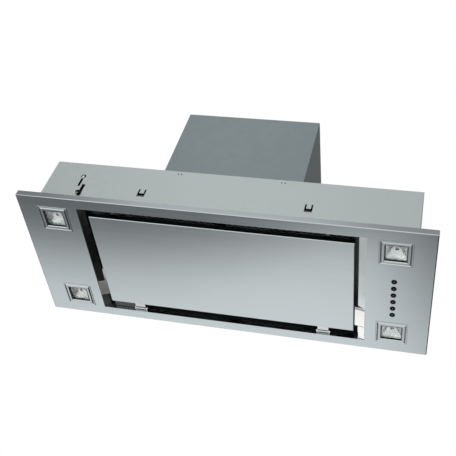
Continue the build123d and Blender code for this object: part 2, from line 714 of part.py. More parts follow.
def lamp_bezel(x, y):
    """Square frame: an outer slope, a groove, a step that falls to the glass, and the body that snaps in."""
    bezel = block(BEZEL_W, BEZEL_W, UNDERSIDE - BEZEL_EDGE, UNDERSIDE, BEZEL_CORNER)
    bezel += frustum(BEZEL_W - 2 * BEZEL_SLOPE_W, BEZEL_W, UNDERSIDE - BEZEL_T, UNDERSIDE - BEZEL_EDGE)
    bezel &= block(BEZEL_W, BEZEL_W, UNDERSIDE - BEZEL_T, UNDERSIDE, BEZEL_CORNER)
    groove = GROOVE_W / 2
    bezel -= slab(-groove, groove, -groove, groove, UNDERSIDE - BEZEL_T - 1, UNDERSIDE - GROOVE_LEFT)
    step = block(STEP_W, STEP_W, UNDERSIDE - STEP_T, UNDERSIDE, BEZEL_CORNER)
    bezel += step - frustum(FUNNEL_W, FUNNEL_END_W, UNDERSIDE - STEP_T, UNDERSIDE - FUNNEL_T)
    bezel += block(BODY_W, BODY_W, UNDERSIDE, BODY_TOP, BEZEL_CORNER)
    glass_low = UNDERSIDE + GLASS_SET
    glass_top = glass_low + GLASS_T
    lens = LENS_W / 2
    pocket = GLASS_W / 2 + GLASS_PLAY
    bezel -= slab(-pocket, pocket, -pocket, pocket, glass_low, glass_top)
    bezel -= slab(-lens, lens, -lens, lens, UNDERSIDE - STEP_T - 1, UNDERSIDE + 1)
    inner = BODY_W / 2 - BODY_WALL
    bezel -= slab(-inner, inner, -inner, inner, glass_top, BODY_TOP + 1)
    wedge = make_face(Polyline(
        (BODY_W / 2, PLATE_INNER), (BODY_W / 2 + SNAP_OUT, PLATE_INNER), (BODY_W / 2, PLATE_INNER + SNAP_H),
        close=True))
    snap = along_y(wedge, -SNAP_W / 2, SNAP_W / 2)
    bezel += snap
    bezel += half_turn(snap)
    return Pos(x, y, 0) * bezel


def lamp_glass(x, y):
    low = UNDERSIDE + GLASS_SET
    half = GLASS_W / 2
    return Pos(x, y, 0) * slab(-half, half, -half, half, low, low + GLASS_T)


def lamp_reflector():
    """Thin four-sided reflector, open towards the glass, with a hole for the bulb at its top."""
    low = UNDERSIDE + GLASS_SET + GLASS_T
    top = low + REFLECTOR_H
    outer = frustum(REFLECTOR_W, REFLECTOR_TOP_W, low, top)
    mouth = REFLECTOR_W - 2 * REFLECTOR_T
    roof = REFLECTOR_TOP_W - 2 * REFLECTOR_T
    inner = frustum(mouth, roof, low, top - REFLECTOR_T)
    return outer - inner - rod(BULB_HOLE_R, (0, 0, top - 2), (0, 0, top + 1))


def lamp_bulb():
    """Halogen capsule that hangs from its holder with a tapered end."""
    top = UNDERSIDE + GLASS_SET + GLASS_T + REFLECTOR_H
    bulb = rod(BULB_R, (0, 0, top - BULB_L), (0, 0, top))
    return chamfer(bulb.edges().group_by(Axis.Z)[0], BULB_R / 2)


def lamp_holder():
    top = UNDERSIDE + GLASS_SET + GLASS_T + REFLECTOR_H
    return slab(-HOLDER_W / 2, HOLDER_W / 2, -HOLDER_D / 2, HOLDER_D / 2, top, top + HOLDER_H)


def in_each_lamp(shape):
    """One copy of a piece in every lamp, as separate solids of one node."""
    return Compound(children=[Pos(x, y, 0) * shape for x, y in LAMP_PLACES.values()])


# ---- Buttons --------------------------------------------------------------------------------------

def button(y):
    """Round cap with a dimple, a flange that keeps it in, and a stem that works the switch."""
    low = UNDERSIDE - BUTTON_PROUD
    flange_low = PLATE_INNER + BUTTON_PLAY
    cap = rod(BUTTON_R, (0, 0, low), (0, 0, flange_low))
    cap += rod(BUTTON_FLANGE_R, (0, 0, flange_low), (0, 0, flange_low + BUTTON_FLANGE_T))
    cap += rod(STEM_R, (0, 0, flange_low), (0, 0, STEM_TOP))
    cap -= rod(BUTTON_DIMPLE_R, (0, 0, low - 1), (0, 0, low + BUTTON_DIMPLE_H))
    return Pos(BUTTON_X, y, 0) * cap


def button_block():
    """Switch block on the back of the plate, with a pocket and a stem guide for each button."""
    rows = button_rows()
    body = slab(BUTTON_X - BLOCK_W / 2, BUTTON_X + BLOCK_W / 2, rows[0] - BLOCK_MARGIN,
                rows[-1] + BLOCK_MARGIN, PLATE_INNER, BLOCK_TOP)
    body = fillet(body.edges().filter_by(Axis.Z), BEZEL_CORNER)
    for y in rows:
        body -= rod(BUTTON_FLANGE_R + POCKET_PLAY, (BUTTON_X, y, PLATE_INNER - 1), (BUTTON_X, y, POCKET_TOP))
        body -= rod(STEM_R + STEM_PLAY, (BUTTON_X, y, POCKET_TOP - 1),
                    (BUTTON_X, y, STEM_TOP + BUTTON_TRAVEL + 1))
    return body


# ---- Motor box and blower -------------------------------------------------------------------------

def motor_box():
    """Four folded walls with an inward foot flange; the two side walls have a flange for the lid."""
    half = BOX_W / 2
    walls = block(BOX_W, BOX_D, HOUSE_TOP, LID_LOW, BOX_CORNER)
    walls -= slab(-half + STEEL, half - STEEL, -BOX_D / 2 + STEEL, BOX_D / 2 - STEEL,
                  HOUSE_TOP + STEEL, LID_LOW + 1)
    window = BOX_FLANGE + STEEL
    walls -= slab(-half + window, half - window, -BOX_D / 2 + window, BOX_D / 2 - window,
                  HOUSE_TOP - 1, HOUSE_TOP + STEEL + 1)
    for x0, x1 in ((-half + STEEL, -half + window), (half - window, half - STEEL)):
        walls += slab(x0, x1, -BOX_D / 2 + STEEL, BOX_D / 2 - STEEL, LID_LOW - STEEL, LID_LOW)
    return Pos(0, BOX_MID, 0) * walls


def motor_box_lid():
    lid = Pos(0, BOX_MID, 0) * block(BOX_W, BOX_D, LID_LOW, BOX_TOP, BOX_CORNER)
    inner = DUCT_R - DUCT_WALL
    return lid - rod(inner, (0, DUCT_Y, LID_LOW - 1), (0, DUCT_Y, BOX_TOP + 1))


def scroll_outline(grow, top):
    """Face of the scroll in Y and Z: a widening spiral that runs into the upright outlet."""
    points = []
    for i in range(SPIRAL_POINTS):
        share = i / (SPIRAL_POINTS - 1)
        angle = radians(CUTOFF_DEG + share * (360 - CUTOFF_DEG))
        radius = SCROLL_START + share * (SCROLL_END - SCROLL_START) + grow
        points.append((BLOWER_Y + radius * cos(angle), BLOWER_Z + radius * sin(angle)))
    spiral = Spline(*points)
    outlet = Polyline(points[-1], (points[-1][0], top), (CUTOFF_Y - grow, top), points[0])
    return make_face(spiral + outlet)


def blower_scroll():
    scroll = along_x(scroll_outline(SCROLL_T, LID_LOW), -SCROLL_HALF - SCROLL_T, SCROLL_HALF + SCROLL_T)
    half = SCROLL_HALF + SCROLL_T + OUTLET_FLANGE
    rear = BLOWER_Y + SCROLL_END + OUTLET_FLANGE
    scroll += slab(-half, half, CUTOFF_Y - OUTLET_FLANGE, rear, LID_LOW - STEEL, LID_LOW)
    scroll -= along_x(scroll_outline(0, LID_LOW + 1), -SCROLL_HALF, SCROLL_HALF)
    ends = ((-half, BLOWER_Y, BLOWER_Z), (half, BLOWER_Y, BLOWER_Z))
    return scroll - rod(INLET_R, *ends)


def vane():
    """One forward-curved vane in Y and Z, from the root circle to the tip circle."""
    lean = radians(VANE_LEAN)
    root = (BLADE_ROOT_R, 0)
    tip_r = IMPELLER_R
    tip = (tip_r * cos(lean), tip_r * sin(lean))
    mid = ((root[0] + tip[0]) / 2 + VANE_BOW * sin(lean), (root[1] + tip[1]) / 2 - VANE_BOW)
    front = ThreePointArc(root, mid, tip)
    back_root = (root[0], root[1] + VANE_T)
    back_tip = (tip[0] - VANE_T * sin(lean), tip[1] + VANE_T)
    back_mid = (mid[0] - VANE_T * sin(lean), mid[1] + VANE_T)
    back = ThreePointArc(back_root, back_mid, back_tip)
    return make_face(front + Line(tip, back_tip) + back + Line(back_root, root))


def ring(outer, inner, x0, x1):
    """Flat ring round the blower's axis."""
    centre = Pos(BLOWER_Y, BLOWER_Z)
    return along_x(centre * Circle(outer) - centre * Circle(inner), x0, x1)


def impeller():
    """Double-inlet wheel: vanes between two end rings, with a disc and a hub in the middle."""
    wheel = ring(RING_R, HUB_R - 1, -DISC_T / 2, DISC_T / 2)
    wheel += ring(HUB_R, SHAFT_R + SHAFT_PLAY, -HUB_HALF, HUB_HALF)
    for x in (-IMPELLER_HALF - RING_T, IMPELLER_HALF):
        wheel += ring(RING_R, BLADE_ROOT_R - 1, x, x + RING_T)
    centre = Pos(BLOWER_Y, BLOWER_Z)
    face = vane()
    for i in range(BLADES):
        blade = centre * Rot(0, 0, i * 360 / BLADES) * face
        wheel += along_x(blade, -IMPELLER_HALF - RING_T / 2, -DISC_T / 4)
        wheel += along_x(blade, DISC_T / 4, IMPELLER_HALF + RING_T / 2)
    return wheel


def motor():
    """Motor in the right-hand inlet, with its shaft through the wheel's hub."""
    rear = SCROLL_HALF + SCROLL_T
    body = rod(MOTOR_R, (MOTOR_FRONT, BLOWER_Y, BLOWER_Z), (rear, BLOWER_Y, BLOWER_Z))
    body = chamfer(body.edges().group_by(Axis.X)[0], BOX_FLANGE / 2)
    return body + rod(SHAFT_R, (-HUB_HALF - DISC_T, BLOWER_Y, BLOWER_Z), (MOTOR_FRONT + 1, BLOWER_Y, BLOWER_Z))


def motor_bracket():
    """Ring and arms on the right cheek of the scroll that carry the motor by its rear face."""
    near = SCROLL_HALF + SCROLL_T
    far = near + BRACKET_T
    bracket = ring(INLET_R + BRACKET_RING, INLET_R, near, far)
    centre = Pos(BLOWER_Y, BLOWER_Z)
    bracket += along_x(centre * Circle(BRACKET_HUB_R), near, far)
    reach = INLET_R + BRACKET_RING / 2
    arm = Pos(reach / 2, 0) * Rectangle(reach, BRACKET_ARM)
    for i in range(BRACKET_ARMS):
        bracket += along_x(centre * Rot(0, 0, 90 + i * 360 / BRACKET_ARMS) * arm, near, far)
    return bracket


# ---- Duct collar and flaps ------------------------------------------------------------------------

def duct_collar():
    """Round spigot with a foot flange; four nubs inside stop the flaps in the closed position."""
    inner = DUCT_R - DUCT_WALL
    foot_top = BOX_TOP + COLLAR_FLANGE_T
    collar = rod(DUCT_R + COLLAR_FLANGE, (0, 0, BOX_TOP), (0, 0, foot_top))
    collar += rod(DUCT_R, (0, 0, BOX_TOP), (0, 0, foot_top + DUCT_H))
    collar -= rod(inner, (0, 0, BOX_TOP - 1), (0, 0, foot_top + DUCT_H + 1))
    stop_top = AXLE_Z - FLAP_T / 2 - STOP_PLAY
    nub = slab(inner - STOP_OUT, inner + DUCT_WALL / 2, -STOP_OUT, STOP_OUT, stop_top - STOP_H, stop_top)
    for angle in (45, 135, 225, 315):
        collar += Rot(0, 0, angle) * nub
    hole = AXLE_R + AXLE_PLAY
    collar -= rod(hole, (-DUCT_R - 1, 0, AXLE_Z), (-inner + 1, 0, AXLE_Z))
    collar -= rod(hole, (inner - 1, 0, AXLE_Z), (DUCT_R + 1, 0, AXLE_Z))
    return Pos(0, DUCT_Y, 0) * collar


def flap_axle():
    half = DUCT_R - DUCT_WALL / 4
    return rod(AXLE_R, (-half, DUCT_Y, AXLE_Z), (half, DUCT_Y, AXLE_Z))


def flap(sign):
    """Half-round flap, front (-1) or rear (1), with every other knuckle round the common axle."""
    radius = DUCT_R - DUCT_WALL - FLAP_CLEAR
    half_disc = Circle(radius) - Pos(0, FLAP_SPLIT - radius) * Rectangle(2 * radius, 2 * radius)
    plate = Pos(0, 0, AXLE_Z - FLAP_T / 2) * extrude(half_disc, FLAP_T)
    length = 2 * (radius - FLAP_KNUCKLE_R) / (2 * FLAP_KNUCKLES)
    first = 0 if sign > 0 else 1
    for i in range(FLAP_KNUCKLES):
        x0 = -radius + FLAP_KNUCKLE_R + (2 * i + first) * length + KNUCKLE_GAP / 2
        x1 = x0 + length - KNUCKLE_GAP
        plate += slab(x0, x1, 0, FLAP_SPLIT + 1, AXLE_Z - FLAP_T / 2, AXLE_Z + FLAP_T / 2)
        plate += rod(FLAP_KNUCKLE_R, (x0, 0, AXLE_Z), (x1, 0, AXLE_Z))
    plate -= rod(AXLE_R + AXLE_PLAY, (-DUCT_R, 0, AXLE_Z), (DUCT_R, 0, AXLE_Z))
    if sign < 0:
        plate = mirror(plate, Plane.XZ)
    return Pos(0, DUCT_Y, 0) * plate


# ---- Electrical pieces ----------------------------------------------------------------------------

def control_box():
    """Electronics case on the outer face of the right partition."""
    near = PART_X + STEEL
    case = slab(near, near + CONTROL_W, BUTTON_Y - CONTROL_D / 2, BUTTON_Y + CONTROL_D / 2,
                CONTROL_LOW, CONTROL_LOW + CONTROL_H)
    return fillet(case.edges().filter_by(Axis.X), BEZEL_CORNER)


def lamp_driver():
    """Lamp transformer on the outer face of the left partition."""
    near = -PART_X - STEEL
    case = slab(near - DRIVER_W, near, -DRIVER_D / 2, DRIVER_D / 2, DRIVER_LOW, DRIVER_LOW + DRIVER_H)
    return fillet(case.edges().filter_by(Axis.X), BEZEL_CORNER)


def inlet_plate():
    """Cover plate over the cable cut-out in the top of the housing."""
    plate = block(INLET_PLATE_W, INLET_PLATE_W, HOUSE_TOP, HOUSE_TOP + INLET_PLATE_T, PLATE_CORNER)
    plate -= rod(GLAND_THREAD_R + GLAND_FIT, (0, 0, HOUSE_TOP - 1), (0, 0, HOUSE_TOP + INLET_PLATE_T + 1))
    return Pos(INLET_X, INLET_Y, 0) * plate


def cable_gland():
    """Gland for the supply cable: hexagon, domed nut, threaded tail and lock nut, with one bore."""
    seat = HOUSE_TOP + INLET_PLATE_T
    hexagon = extrude(RegularPolygon(GLAND_HEX / 2, 6, major_radius=False), GLAND_HEX_H)
    gland = Pos(0, 0, seat) * hexagon
    dome_low = seat + GLAND_HEX_H
    dome_top = dome_low + GLAND_DOME_H
    dome = rod(GLAND_DOME_R, (0, 0, dome_low), (0, 0, dome_top))
    gland += chamfer(dome.edges().group_by(Axis.Z)[-1], GLAND_DOME_R / 3)
    gland += rod(GLAND_THREAD_R, (0, 0, HOUSE_TOP - GLAND_TAIL), (0, 0, seat))
    gland += Pos(0, 0, HOUSE_TOP - GLAND_HEX_H) * hexagon
    gland -= rod(GLAND_BORE_R, (0, 0, HOUSE_TOP - GLAND_TAIL - 1), (0, 0, dome_top + 1))
    return Pos(INLET_X, INLET_Y, 0) * gland


# ---- Assembly -------------------------------------------------------------------------------------

nodes = {
    "face_plate": face_plate(),
    "housing_shell": housing_shell(),
    "panel_skin": panel_skin(),
    "panel_backing": panel_backing(),
    "hinge_brackets": on_both_sides(hinge_bracket(), HINGE_X),
    "hinge_pins": on_both_sides(hinge_pin(), HINGE_X),
    "catch_clips": on_both_sides(catch_clip(), CATCH_X),
    "catch_blades": on_both_sides(catch_blade(), CATCH_X),
    "filter_rail_front": filter_rail(-1, FRONT_LEDGE),
    "filter_rail_rear": filter_rail(1, REAR_LEDGE),
    "side_clamp_front_left": side_clamp(),
    "side_clamp_rear_right": half_turn(side_clamp()),
    "clamp_keepers": Compound(children=[clamp_keeper(), half_turn(clamp_keeper())]),
    "clamp_screws": Compound(children=[clamp_screw(), half_turn(clamp_screw())]),
    "lamp_reflectors": in_each_lamp(lamp_reflector()),
    "lamp_bulbs": in_each_lamp(lamp_bulb()),
    "lamp_holders": in_each_lamp(lamp_holder()),
    "button_block": button_block(),
    "motor_box": motor_box(),
    "motor_box_lid": motor_box_lid(),
    "blower_scroll": blower_scroll(),
    "impeller": impeller(),
    "motor": motor(),
    "motor_bracket": motor_bracket(),
    "duct_collar": duct_collar(),
    "flap_axle": flap_axle(),
    "flap_front": flap(-1),
    "flap_rear": flap(1),
    "control_box": control_box(),
    "lamp_driver": lamp_driver(),
    "inlet_plate": inlet_plate(),
    "cable_gland": cable_gland(),
}
for name, side in SIDES.items():
    nodes[f"air_deflector_{name}"] = air_deflector(side)
    nodes[f"hinge_leaf_{name}"] = hinge_leaf(side)
    nodes[f"partition_{name}"] = partition(side)
    nodes[f"filter_ledge_{name}"] = end_ledge(side)
    nodes[f"filter_frame_{name}"] = filter_frame(side)
    nodes[f"filter_mesh_{name}"] = filter_mesh(side)
    nodes[f"filter_latch_{name}"] = filter_latch(side)
for name, (x, y) in LAMP_PLACES.items():
    nodes[f"lamp_bezel_{name}"] = lamp_bezel(x, y)
    nodes[f"lamp_glass_{name}"] = lamp_glass(x, y)
for number, y in enumerate(button_rows(), start=1):
    nodes[f"button_{number}"] = button(y)

for name, shape in nodes.items():
    export_step(shape, f"parts/{name}.step")
print(f"{len(nodes)} nodes written")
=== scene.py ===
# %% [markdown]
# # A ceiling range hood, seen from below
#
# The hood hangs in a cut-out of the ceiling. What shows in a kitchen is a flat steel plate with a
# lamp in each corner, a row of push buttons, and a hinged panel that draws air in round its edges.
# Above the ceiling stand a galvanised housing, a motor box and a duct collar. The sheet-metal pieces
# come from the CAD frame; this lesson dresses them in steel, zinc, glass and plastic, and models the
# small things: lamps, seals, filter strands, bent sheets, screws and rivets.

# %% Load the frame
import math

import bmesh
import bpy
from mathutils import Matrix, Vector


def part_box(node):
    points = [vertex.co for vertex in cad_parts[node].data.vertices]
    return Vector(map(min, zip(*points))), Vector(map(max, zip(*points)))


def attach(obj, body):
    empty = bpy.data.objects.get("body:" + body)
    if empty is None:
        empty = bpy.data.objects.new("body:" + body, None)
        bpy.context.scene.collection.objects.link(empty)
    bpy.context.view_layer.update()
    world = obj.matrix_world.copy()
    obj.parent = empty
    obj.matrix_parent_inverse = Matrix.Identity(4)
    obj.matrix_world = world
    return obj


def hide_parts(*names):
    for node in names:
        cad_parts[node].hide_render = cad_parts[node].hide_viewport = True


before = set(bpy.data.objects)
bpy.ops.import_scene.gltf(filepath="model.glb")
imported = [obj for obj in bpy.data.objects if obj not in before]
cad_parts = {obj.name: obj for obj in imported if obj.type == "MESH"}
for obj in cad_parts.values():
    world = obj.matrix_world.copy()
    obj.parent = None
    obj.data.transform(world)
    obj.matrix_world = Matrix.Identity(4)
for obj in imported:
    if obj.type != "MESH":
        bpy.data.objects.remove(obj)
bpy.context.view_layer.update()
MM = 0.001

# %% [markdown]
# ## Sizes that the frame gives
#
# Most places are read from the boxes of the CAD nodes, so that the new pieces follow the part when it
# changes. What was placed one by one, such as the bent sheets and the pads, has numbers of its own.

# %% Levels and places
plate_low, plate_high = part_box("face_plate")
house_low, house_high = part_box("housing_shell")
box_low, box_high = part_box("motor_box")
lid_low, lid_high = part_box("motor_box_lid")
collar_low, collar_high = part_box("duct_collar")
SHEET = 1.0 * MM          # thickness of all the sheet metal
HOUSE_FLANGE = 10.0 * MM  # foot of the housing, on the plate
UNDERSIDE = plate_low.z
CORNERS = ("front_left", "front_right", "rear_left", "rear_right")
SIDES = ("left", "right")


def middle(node):
    """The middle of a node's box."""
    low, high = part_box(node)
    return (low + high) / 2


lamp_places = {corner: middle(f"lamp_glass_{corner}") for corner in CORNERS}
wall_front = house_low.y + HOUSE_FLANGE
wall_rear = house_high.y - HOUSE_FLANGE
wall_right = house_high.x - HOUSE_FLANGE
for name, size in (("plate", plate_high - plate_low), ("motor box", box_high - box_low)):
    print(name, [round(v, 3) for v in size])

# %% [markdown]
# ## Camera
#
# The photograph was taken from below and in front, to the right of the hood's middle. Its view was
# solved from the corners of the plate, the panel and the housing: a place, a direction of view and
# an upright, in the frame's metres. Three unit vectors make the camera's matrix.

# %% Camera
CAMERA_AT = Vector((0.41207, -1.25194, -1.13689))
CAMERA_RIGHT = Vector((0.96646, 0.09534, 0.23848))
CAMERA_UP = Vector((-0.09689, -0.72458, 0.68234))
LENS_MM = 64.94
SENSOR_MM = 36.0

camera_data = bpy.data.cameras.new("camera")
camera_data.lens = LENS_MM
camera_data.sensor_width = SENSOR_MM
camera_data.clip_start = 0.05
camera_data.clip_end = 60.0
camera = bpy.data.objects.new("camera", camera_data)
bpy.context.scene.collection.objects.link(camera)
backwards = CAMERA_RIGHT.cross(CAMERA_UP)
camera.matrix_world = Matrix.Translation(CAMERA_AT) @ Matrix(
    (CAMERA_RIGHT, CAMERA_UP, backwards)).transposed().to_4x4()
bpy.context.scene.camera = camera
bpy.context.scene.view_settings.view_transform = "Standard"
print("camera is", round(CAMERA_AT.length, 3), "m from the middle of the cut-out")

# %% [markdown]
# ## Shader maths
#
# Materials are easier to read as formulas than as lists of links. A `Wire` is the output of a
# node, and `+`, `-` and `*` on wires add Math nodes. A `Finish` is one material: it makes nodes,
# mixes colours, and plugs values into its Principled shader.

# %% Wire and Finish
# the sockets by which a Mix node mixes colours; its other types share their names
COLOUR_A, COLOUR_B, COLOUR_RESULT = 6, 7, 2


class Wire:
    """The output socket of a node; arithmetic on it adds Math nodes."""

    def __init__(self, tree, socket):
        self.tree = tree
        self.socket = socket

    def math(self, operation, first, second=0.0):
        return add_node(self.tree, "ShaderNodeMath", {"operation": operation}, {0: first, 1: second})

    def __add__(self, other):
        return self.math("ADD", self, other)

    def __radd__(self, other):
        return self.math("ADD", other, self)

    def __sub__(self, other):
        return self.math("SUBTRACT", self, other)

    def __rsub__(self, other):
        return self.math("SUBTRACT", other, self)

    def __mul__(self, other):
        return self.math("MULTIPLY", self, other)

    def __rmul__(self, other):
        return self.math("MULTIPLY", other, self)

    def larger(self, other):
        """The larger of two values."""
        return self.math("MAXIMUM", self, other)

    def within(self, limit):
        """1 where the value lies between plus and minus the limit, 0 elsewhere."""
        return self.math("LESS_THAN", self.math("ABSOLUTE", self), limit)

    def ramp(self, low, high, out_low=0.0, out_high=1.0):
        """The value, stretched from low..high to out_low..out_high with soft ends."""
        settings = {"interpolation_type": "SMOOTHSTEP"}
        inputs = {"Value": self, "From Min": low, "From Max": high,
                  "To Min": out_low, "To Max": out_high}
        return add_node(self.tree, "ShaderNodeMapRange", settings, inputs)


def add_node(tree, kind, settings=None, inputs=None, output=0):
    """Adds a node: its settings first, then the values or wires of its inputs."""
    node = tree.nodes.new(kind)
    for key, value in (settings or {}).items():
        setattr(node, key, value)
    for key, value in (inputs or {}).items():
        if isinstance(value, Wire):
            tree.links.new(value.socket, node.inputs[key])
        else:
            node.inputs[key].default_value = value
    return Wire(tree, node.outputs[output])


def mix_colours(factor, first, second):
    """Colour between two colours, each a wire or three numbers."""
    first, second = (c if isinstance(c, Wire) else (*c, 1.0) for c in (first, second))
    inputs = {"Factor": factor, COLOUR_A: first, COLOUR_B: second}
    return add_node(factor.tree, "ShaderNodeMix", {"data_type": "RGBA"}, inputs, COLOUR_RESULT)


def split(vector):
    """The X, Y and Z of a vector, as wires."""
    node = vector.tree.nodes.new("ShaderNodeSeparateXYZ")
    vector.tree.links.new(vector.socket, node.inputs[0])
    return [Wire(vector.tree, socket) for socket in node.outputs]


def shade(colour, share):
    """A colour made darker or lighter by a share."""
    return tuple(min(1.0, channel * share) for channel in colour)


class Finish:
    """One material with a Principled shader; constants go on the shader's own sockets."""

    def __init__(self, name, colour, roughness, metallic=0.0, **constants):
        self.material = bpy.data.materials.new(name)
        self.material.use_nodes = True
        self.tree = self.material.node_tree
        self.shader = self.tree.nodes["Principled BSDF"]
        self.set("Base Color", (*colour, 1.0))
        self.set("Roughness", roughness)
        self.set("Metallic", metallic)
        for key, value in constants.items():
            self.set(key.replace("_", " ").title().replace("Ior", "IOR"), value)
        self.place = self.add("ShaderNodeTexCoord", output="Object")

    def set(self, socket, value):
        """Puts a constant on one of the shader's sockets."""
        self.shader.inputs[socket].default_value = value

    def plug(self, socket, wire):
        """Links a wire to one of the shader's sockets."""
        self.tree.links.new(wire.socket, self.shader.inputs[socket])

    def add(self, kind, settings=None, inputs=None, output=0):
        """Adds a node to this material."""
        return add_node(self.tree, kind, settings, inputs, output)

    def stretched(self, x, y, z):
        """Object coordinates, scaled along each axis."""
        return self.add("ShaderNodeMapping", None, {"Vector": self.place, "Scale": (x, y, z)})

    def noise(self, scale, detail=2.0, where=None, roughness=0.5):
        inputs = {"Vector": where or self.place, "Scale": scale, "Detail": detail,
                  "Roughness": roughness}
        return self.add("ShaderNodeTexNoise", None, inputs)

    def bump(self, height, distance, strength=1.0):
        inputs = {"Height": height, "Distance": distance, "Strength": strength}
        self.plug("Normal", self.add("ShaderNodeBump", None, inputs))


print("shader helpers ready")

# %% [markdown]
# ## Steel
#
# The plate and the panel are rolled sheet, brushed along their length. A belt leaves thousands of
# fine scratches, so the surface is nearly a mirror along the brushing and soft across it. Noise
# that is stretched a hundredfold along X gives the scratches: a little in the colour, more in the
# roughness, and a shallow bump. Slow clouds on top are the marks that film and hands leave.

# %% Brushed steel
# cells of noise to the metre, along X, Y and Z
FINE_SCRATCHES = (5.0, 900.0, 900.0)
BROAD_SCRATCHES = (1.5, 160.0, 160.0)
SCRATCH_DEPTH = 0.01 * MM


def brushed_steel(name, colour, roughness):
    """Sheet that is brushed along X."""
    steel = Finish(name, colour, roughness, metallic=1.0)
    fine = steel.noise(1.0, 2.0, steel.stretched(*FINE_SCRATCHES))
    broad = steel.noise(1.0, 1.0, steel.stretched(*BROAD_SCRATCHES))
    cloud = steel.noise(7.0, 3.0)
    steel.plug("Base Color", mix_colours(fine, shade(colour, 0.95), shade(colour, 1.05)))
    steel.plug("Roughness", roughness - 0.06 + fine * 0.06 + broad * 0.03 + cloud * 0.04)
    steel.bump(fine, SCRATCH_DEPTH, 0.35)
    return steel.material


plate_steel = brushed_steel("brushed_plate_steel", (0.452, 0.500, 0.515), 0.13)
panel_steel = brushed_steel("brushed_panel_steel", (0.467, 0.512, 0.524), 0.14)

# %% [markdown]
# The housing, the motor box and all that is folded inside them are galvanised sheet. Zinc sets in
# flat crystals, the spangle, a centimetre or so across, each a shade of its own. A Voronoi texture
# makes such cells, and the colour that it gives each cell tells how light and how dull it is.

# %% Galvanised sheet
GRAIN_SCALE = 700.0
GRAIN_DEPTH = 0.02 * MM


def galvanised(name, colour, roughness, spangle=90.0, contrast=0.05, shade_mask=None):
    """Zinc with spangle; an optional mask gives a wire, and where it is 1 the zinc is painted dark as
    shade.
    """
    zinc = Finish(name, colour, roughness, metallic=1.0)
    wobble = zinc.noise(30.0, 2.0)
    cells = zinc.add("ShaderNodeTexVoronoi", {"feature": "F1"},
                     {"Vector": zinc.place, "Scale": spangle, "Randomness": 1.0}, "Color")
    tone = zinc.add("ShaderNodeSeparateColor", None, {"Color": cells}) * 0.6 + wobble * 0.4
    cloud = zinc.noise(5.0, 3.0)
    mixed = mix_colours(tone, shade(colour, 1.0 - contrast), shade(colour, 1.0 + contrast))
    skin = mix_colours(cloud, mixed, shade(colour, 0.97))
    # where the mask is 1 the zinc is painted dark: painted shade
    if shade_mask:
        skin = mix_colours(shade_mask(zinc), skin, shade(colour, INSIDE_SHADE))
    zinc.plug("Base Color", skin)
    zinc.plug("Roughness", roughness - 0.06 + tone * 0.08 + cloud * 0.05)
    zinc.bump(zinc.noise(GRAIN_SCALE, 2.0), GRAIN_DEPTH, 0.15)
    return zinc.material


# %% [markdown]
# Inside the housing the zinc is painted dark: painted shade where little light gets in. The housing is
# one sheet with two faces, so the shade is painted by place: wherever a face lies inside the middle of
# the walls' thickness. Two comparisons of the object coordinates find those faces.

# %% Painted shade on the inner faces
# how dark the inside is painted: painted shade
INSIDE_SHADE = 0.16  # share of the zinc's colour that is left


def inner_face(zinc):
    """1 on the inner faces of the housing's walls, 0 on the outer ones."""
    x, y = split(zinc.place)[:2]
    return x.within(wall_right - SHEET / 2) * y.within(wall_rear - SHEET / 2)


# the housing's inner faces are painted dark: painted shade inside the walls
housing_zinc = galvanised("galvanised_housing", (0.71, 0.788, 0.782), 0.46, shade_mask=inner_face)
# the motor box gets a darker copy of the zinc: painted shade on its sides
shaded_box_zinc = galvanised("galvanised_motor_box_painted_shade", (0.31, 0.368, 0.382), 0.38, 60.0, 0.03)
cover_zinc = galvanised("galvanised_cover", (0.58, 0.64, 0.64), 0.46)
# what is folded inside gets a near-black copy of the zinc: painted shade where little light gets in
shaded_inner_zinc = galvanised("galvanised_inside_painted_shade", (0.15, 0.16, 0.155), 0.48, 80.0, 0.05)

# %% [markdown]
# Hinges, clips and the sloped strips at the ends of the opening are smoother: bright rolled steel
# and zinc-plated parts. One recipe serves both, with rolling marks instead of brushing.

# %% Bright steel
ROLLING_MARKS = (25.0, 400.0, 400.0)


def bright_steel(name, colour, roughness):
    """Smooth metal with faint marks along X."""
    steel = Finish(name, colour, roughness, metallic=1.0)
    marks = steel.noise(1.0, 2.0, steel.stretched(*ROLLING_MARKS))
    stain = steel.noise(22.0, 3.0)
    steel.plug("Base Color", mix_colours(stain, shade(colour, 0.92), shade(colour, 1.04)))
    steel.plug("Roughness", roughness + marks * 0.05 + stain * 0.04)
    steel.bump(marks, SCRATCH_DEPTH, 0.2)
    return steel.material


strip_steel = bright_steel("bright_strip_steel", (0.70, 0.745, 0.75), 0.05)
chrome = bright_steel("chromed_pin_steel", (0.80, 0.82, 0.82), 0.08)
plated_steel = bright_steel("zinc_plated_steel", (0.46, 0.48, 0.47), 0.30)
black_steel = bright_steel("blackened_clamp_steel", (0.012, 0.012, 0.013), 0.35)
filter_metal = bright_steel("filter_aluminium", (0.46, 0.47, 0.47), 0.38)
hinge_steel = bright_steel("hinge_steel", (0.66, 0.69, 0.69), 0.20)
satin_steel = bright_steel("satin_wing_steel", (0.62, 0.645, 0.645), 0.20)
# a much lighter copy of the wing steel for the right wing and the right strip cover: painted light
lit_wing_steel = bright_steel("wing_steel_painted_light", (0.92, 0.94, 0.925), 0.16)
bezel_metal = bright_steel("lamp_frame_silver", (0.45, 0.49, 0.505), 0.12)

# %% [markdown]
# ## Plastic, glass and the rest
#
# Moulded plastic is never quite flat: a fine grain from the mould breaks its reflections, and
# rubbed places are a touch smoother. Rubber, enamel and ceramic use the recipe with a coarser grain.

# %% Moulded plastic
MOULD_DEPTH = 0.04 * MM


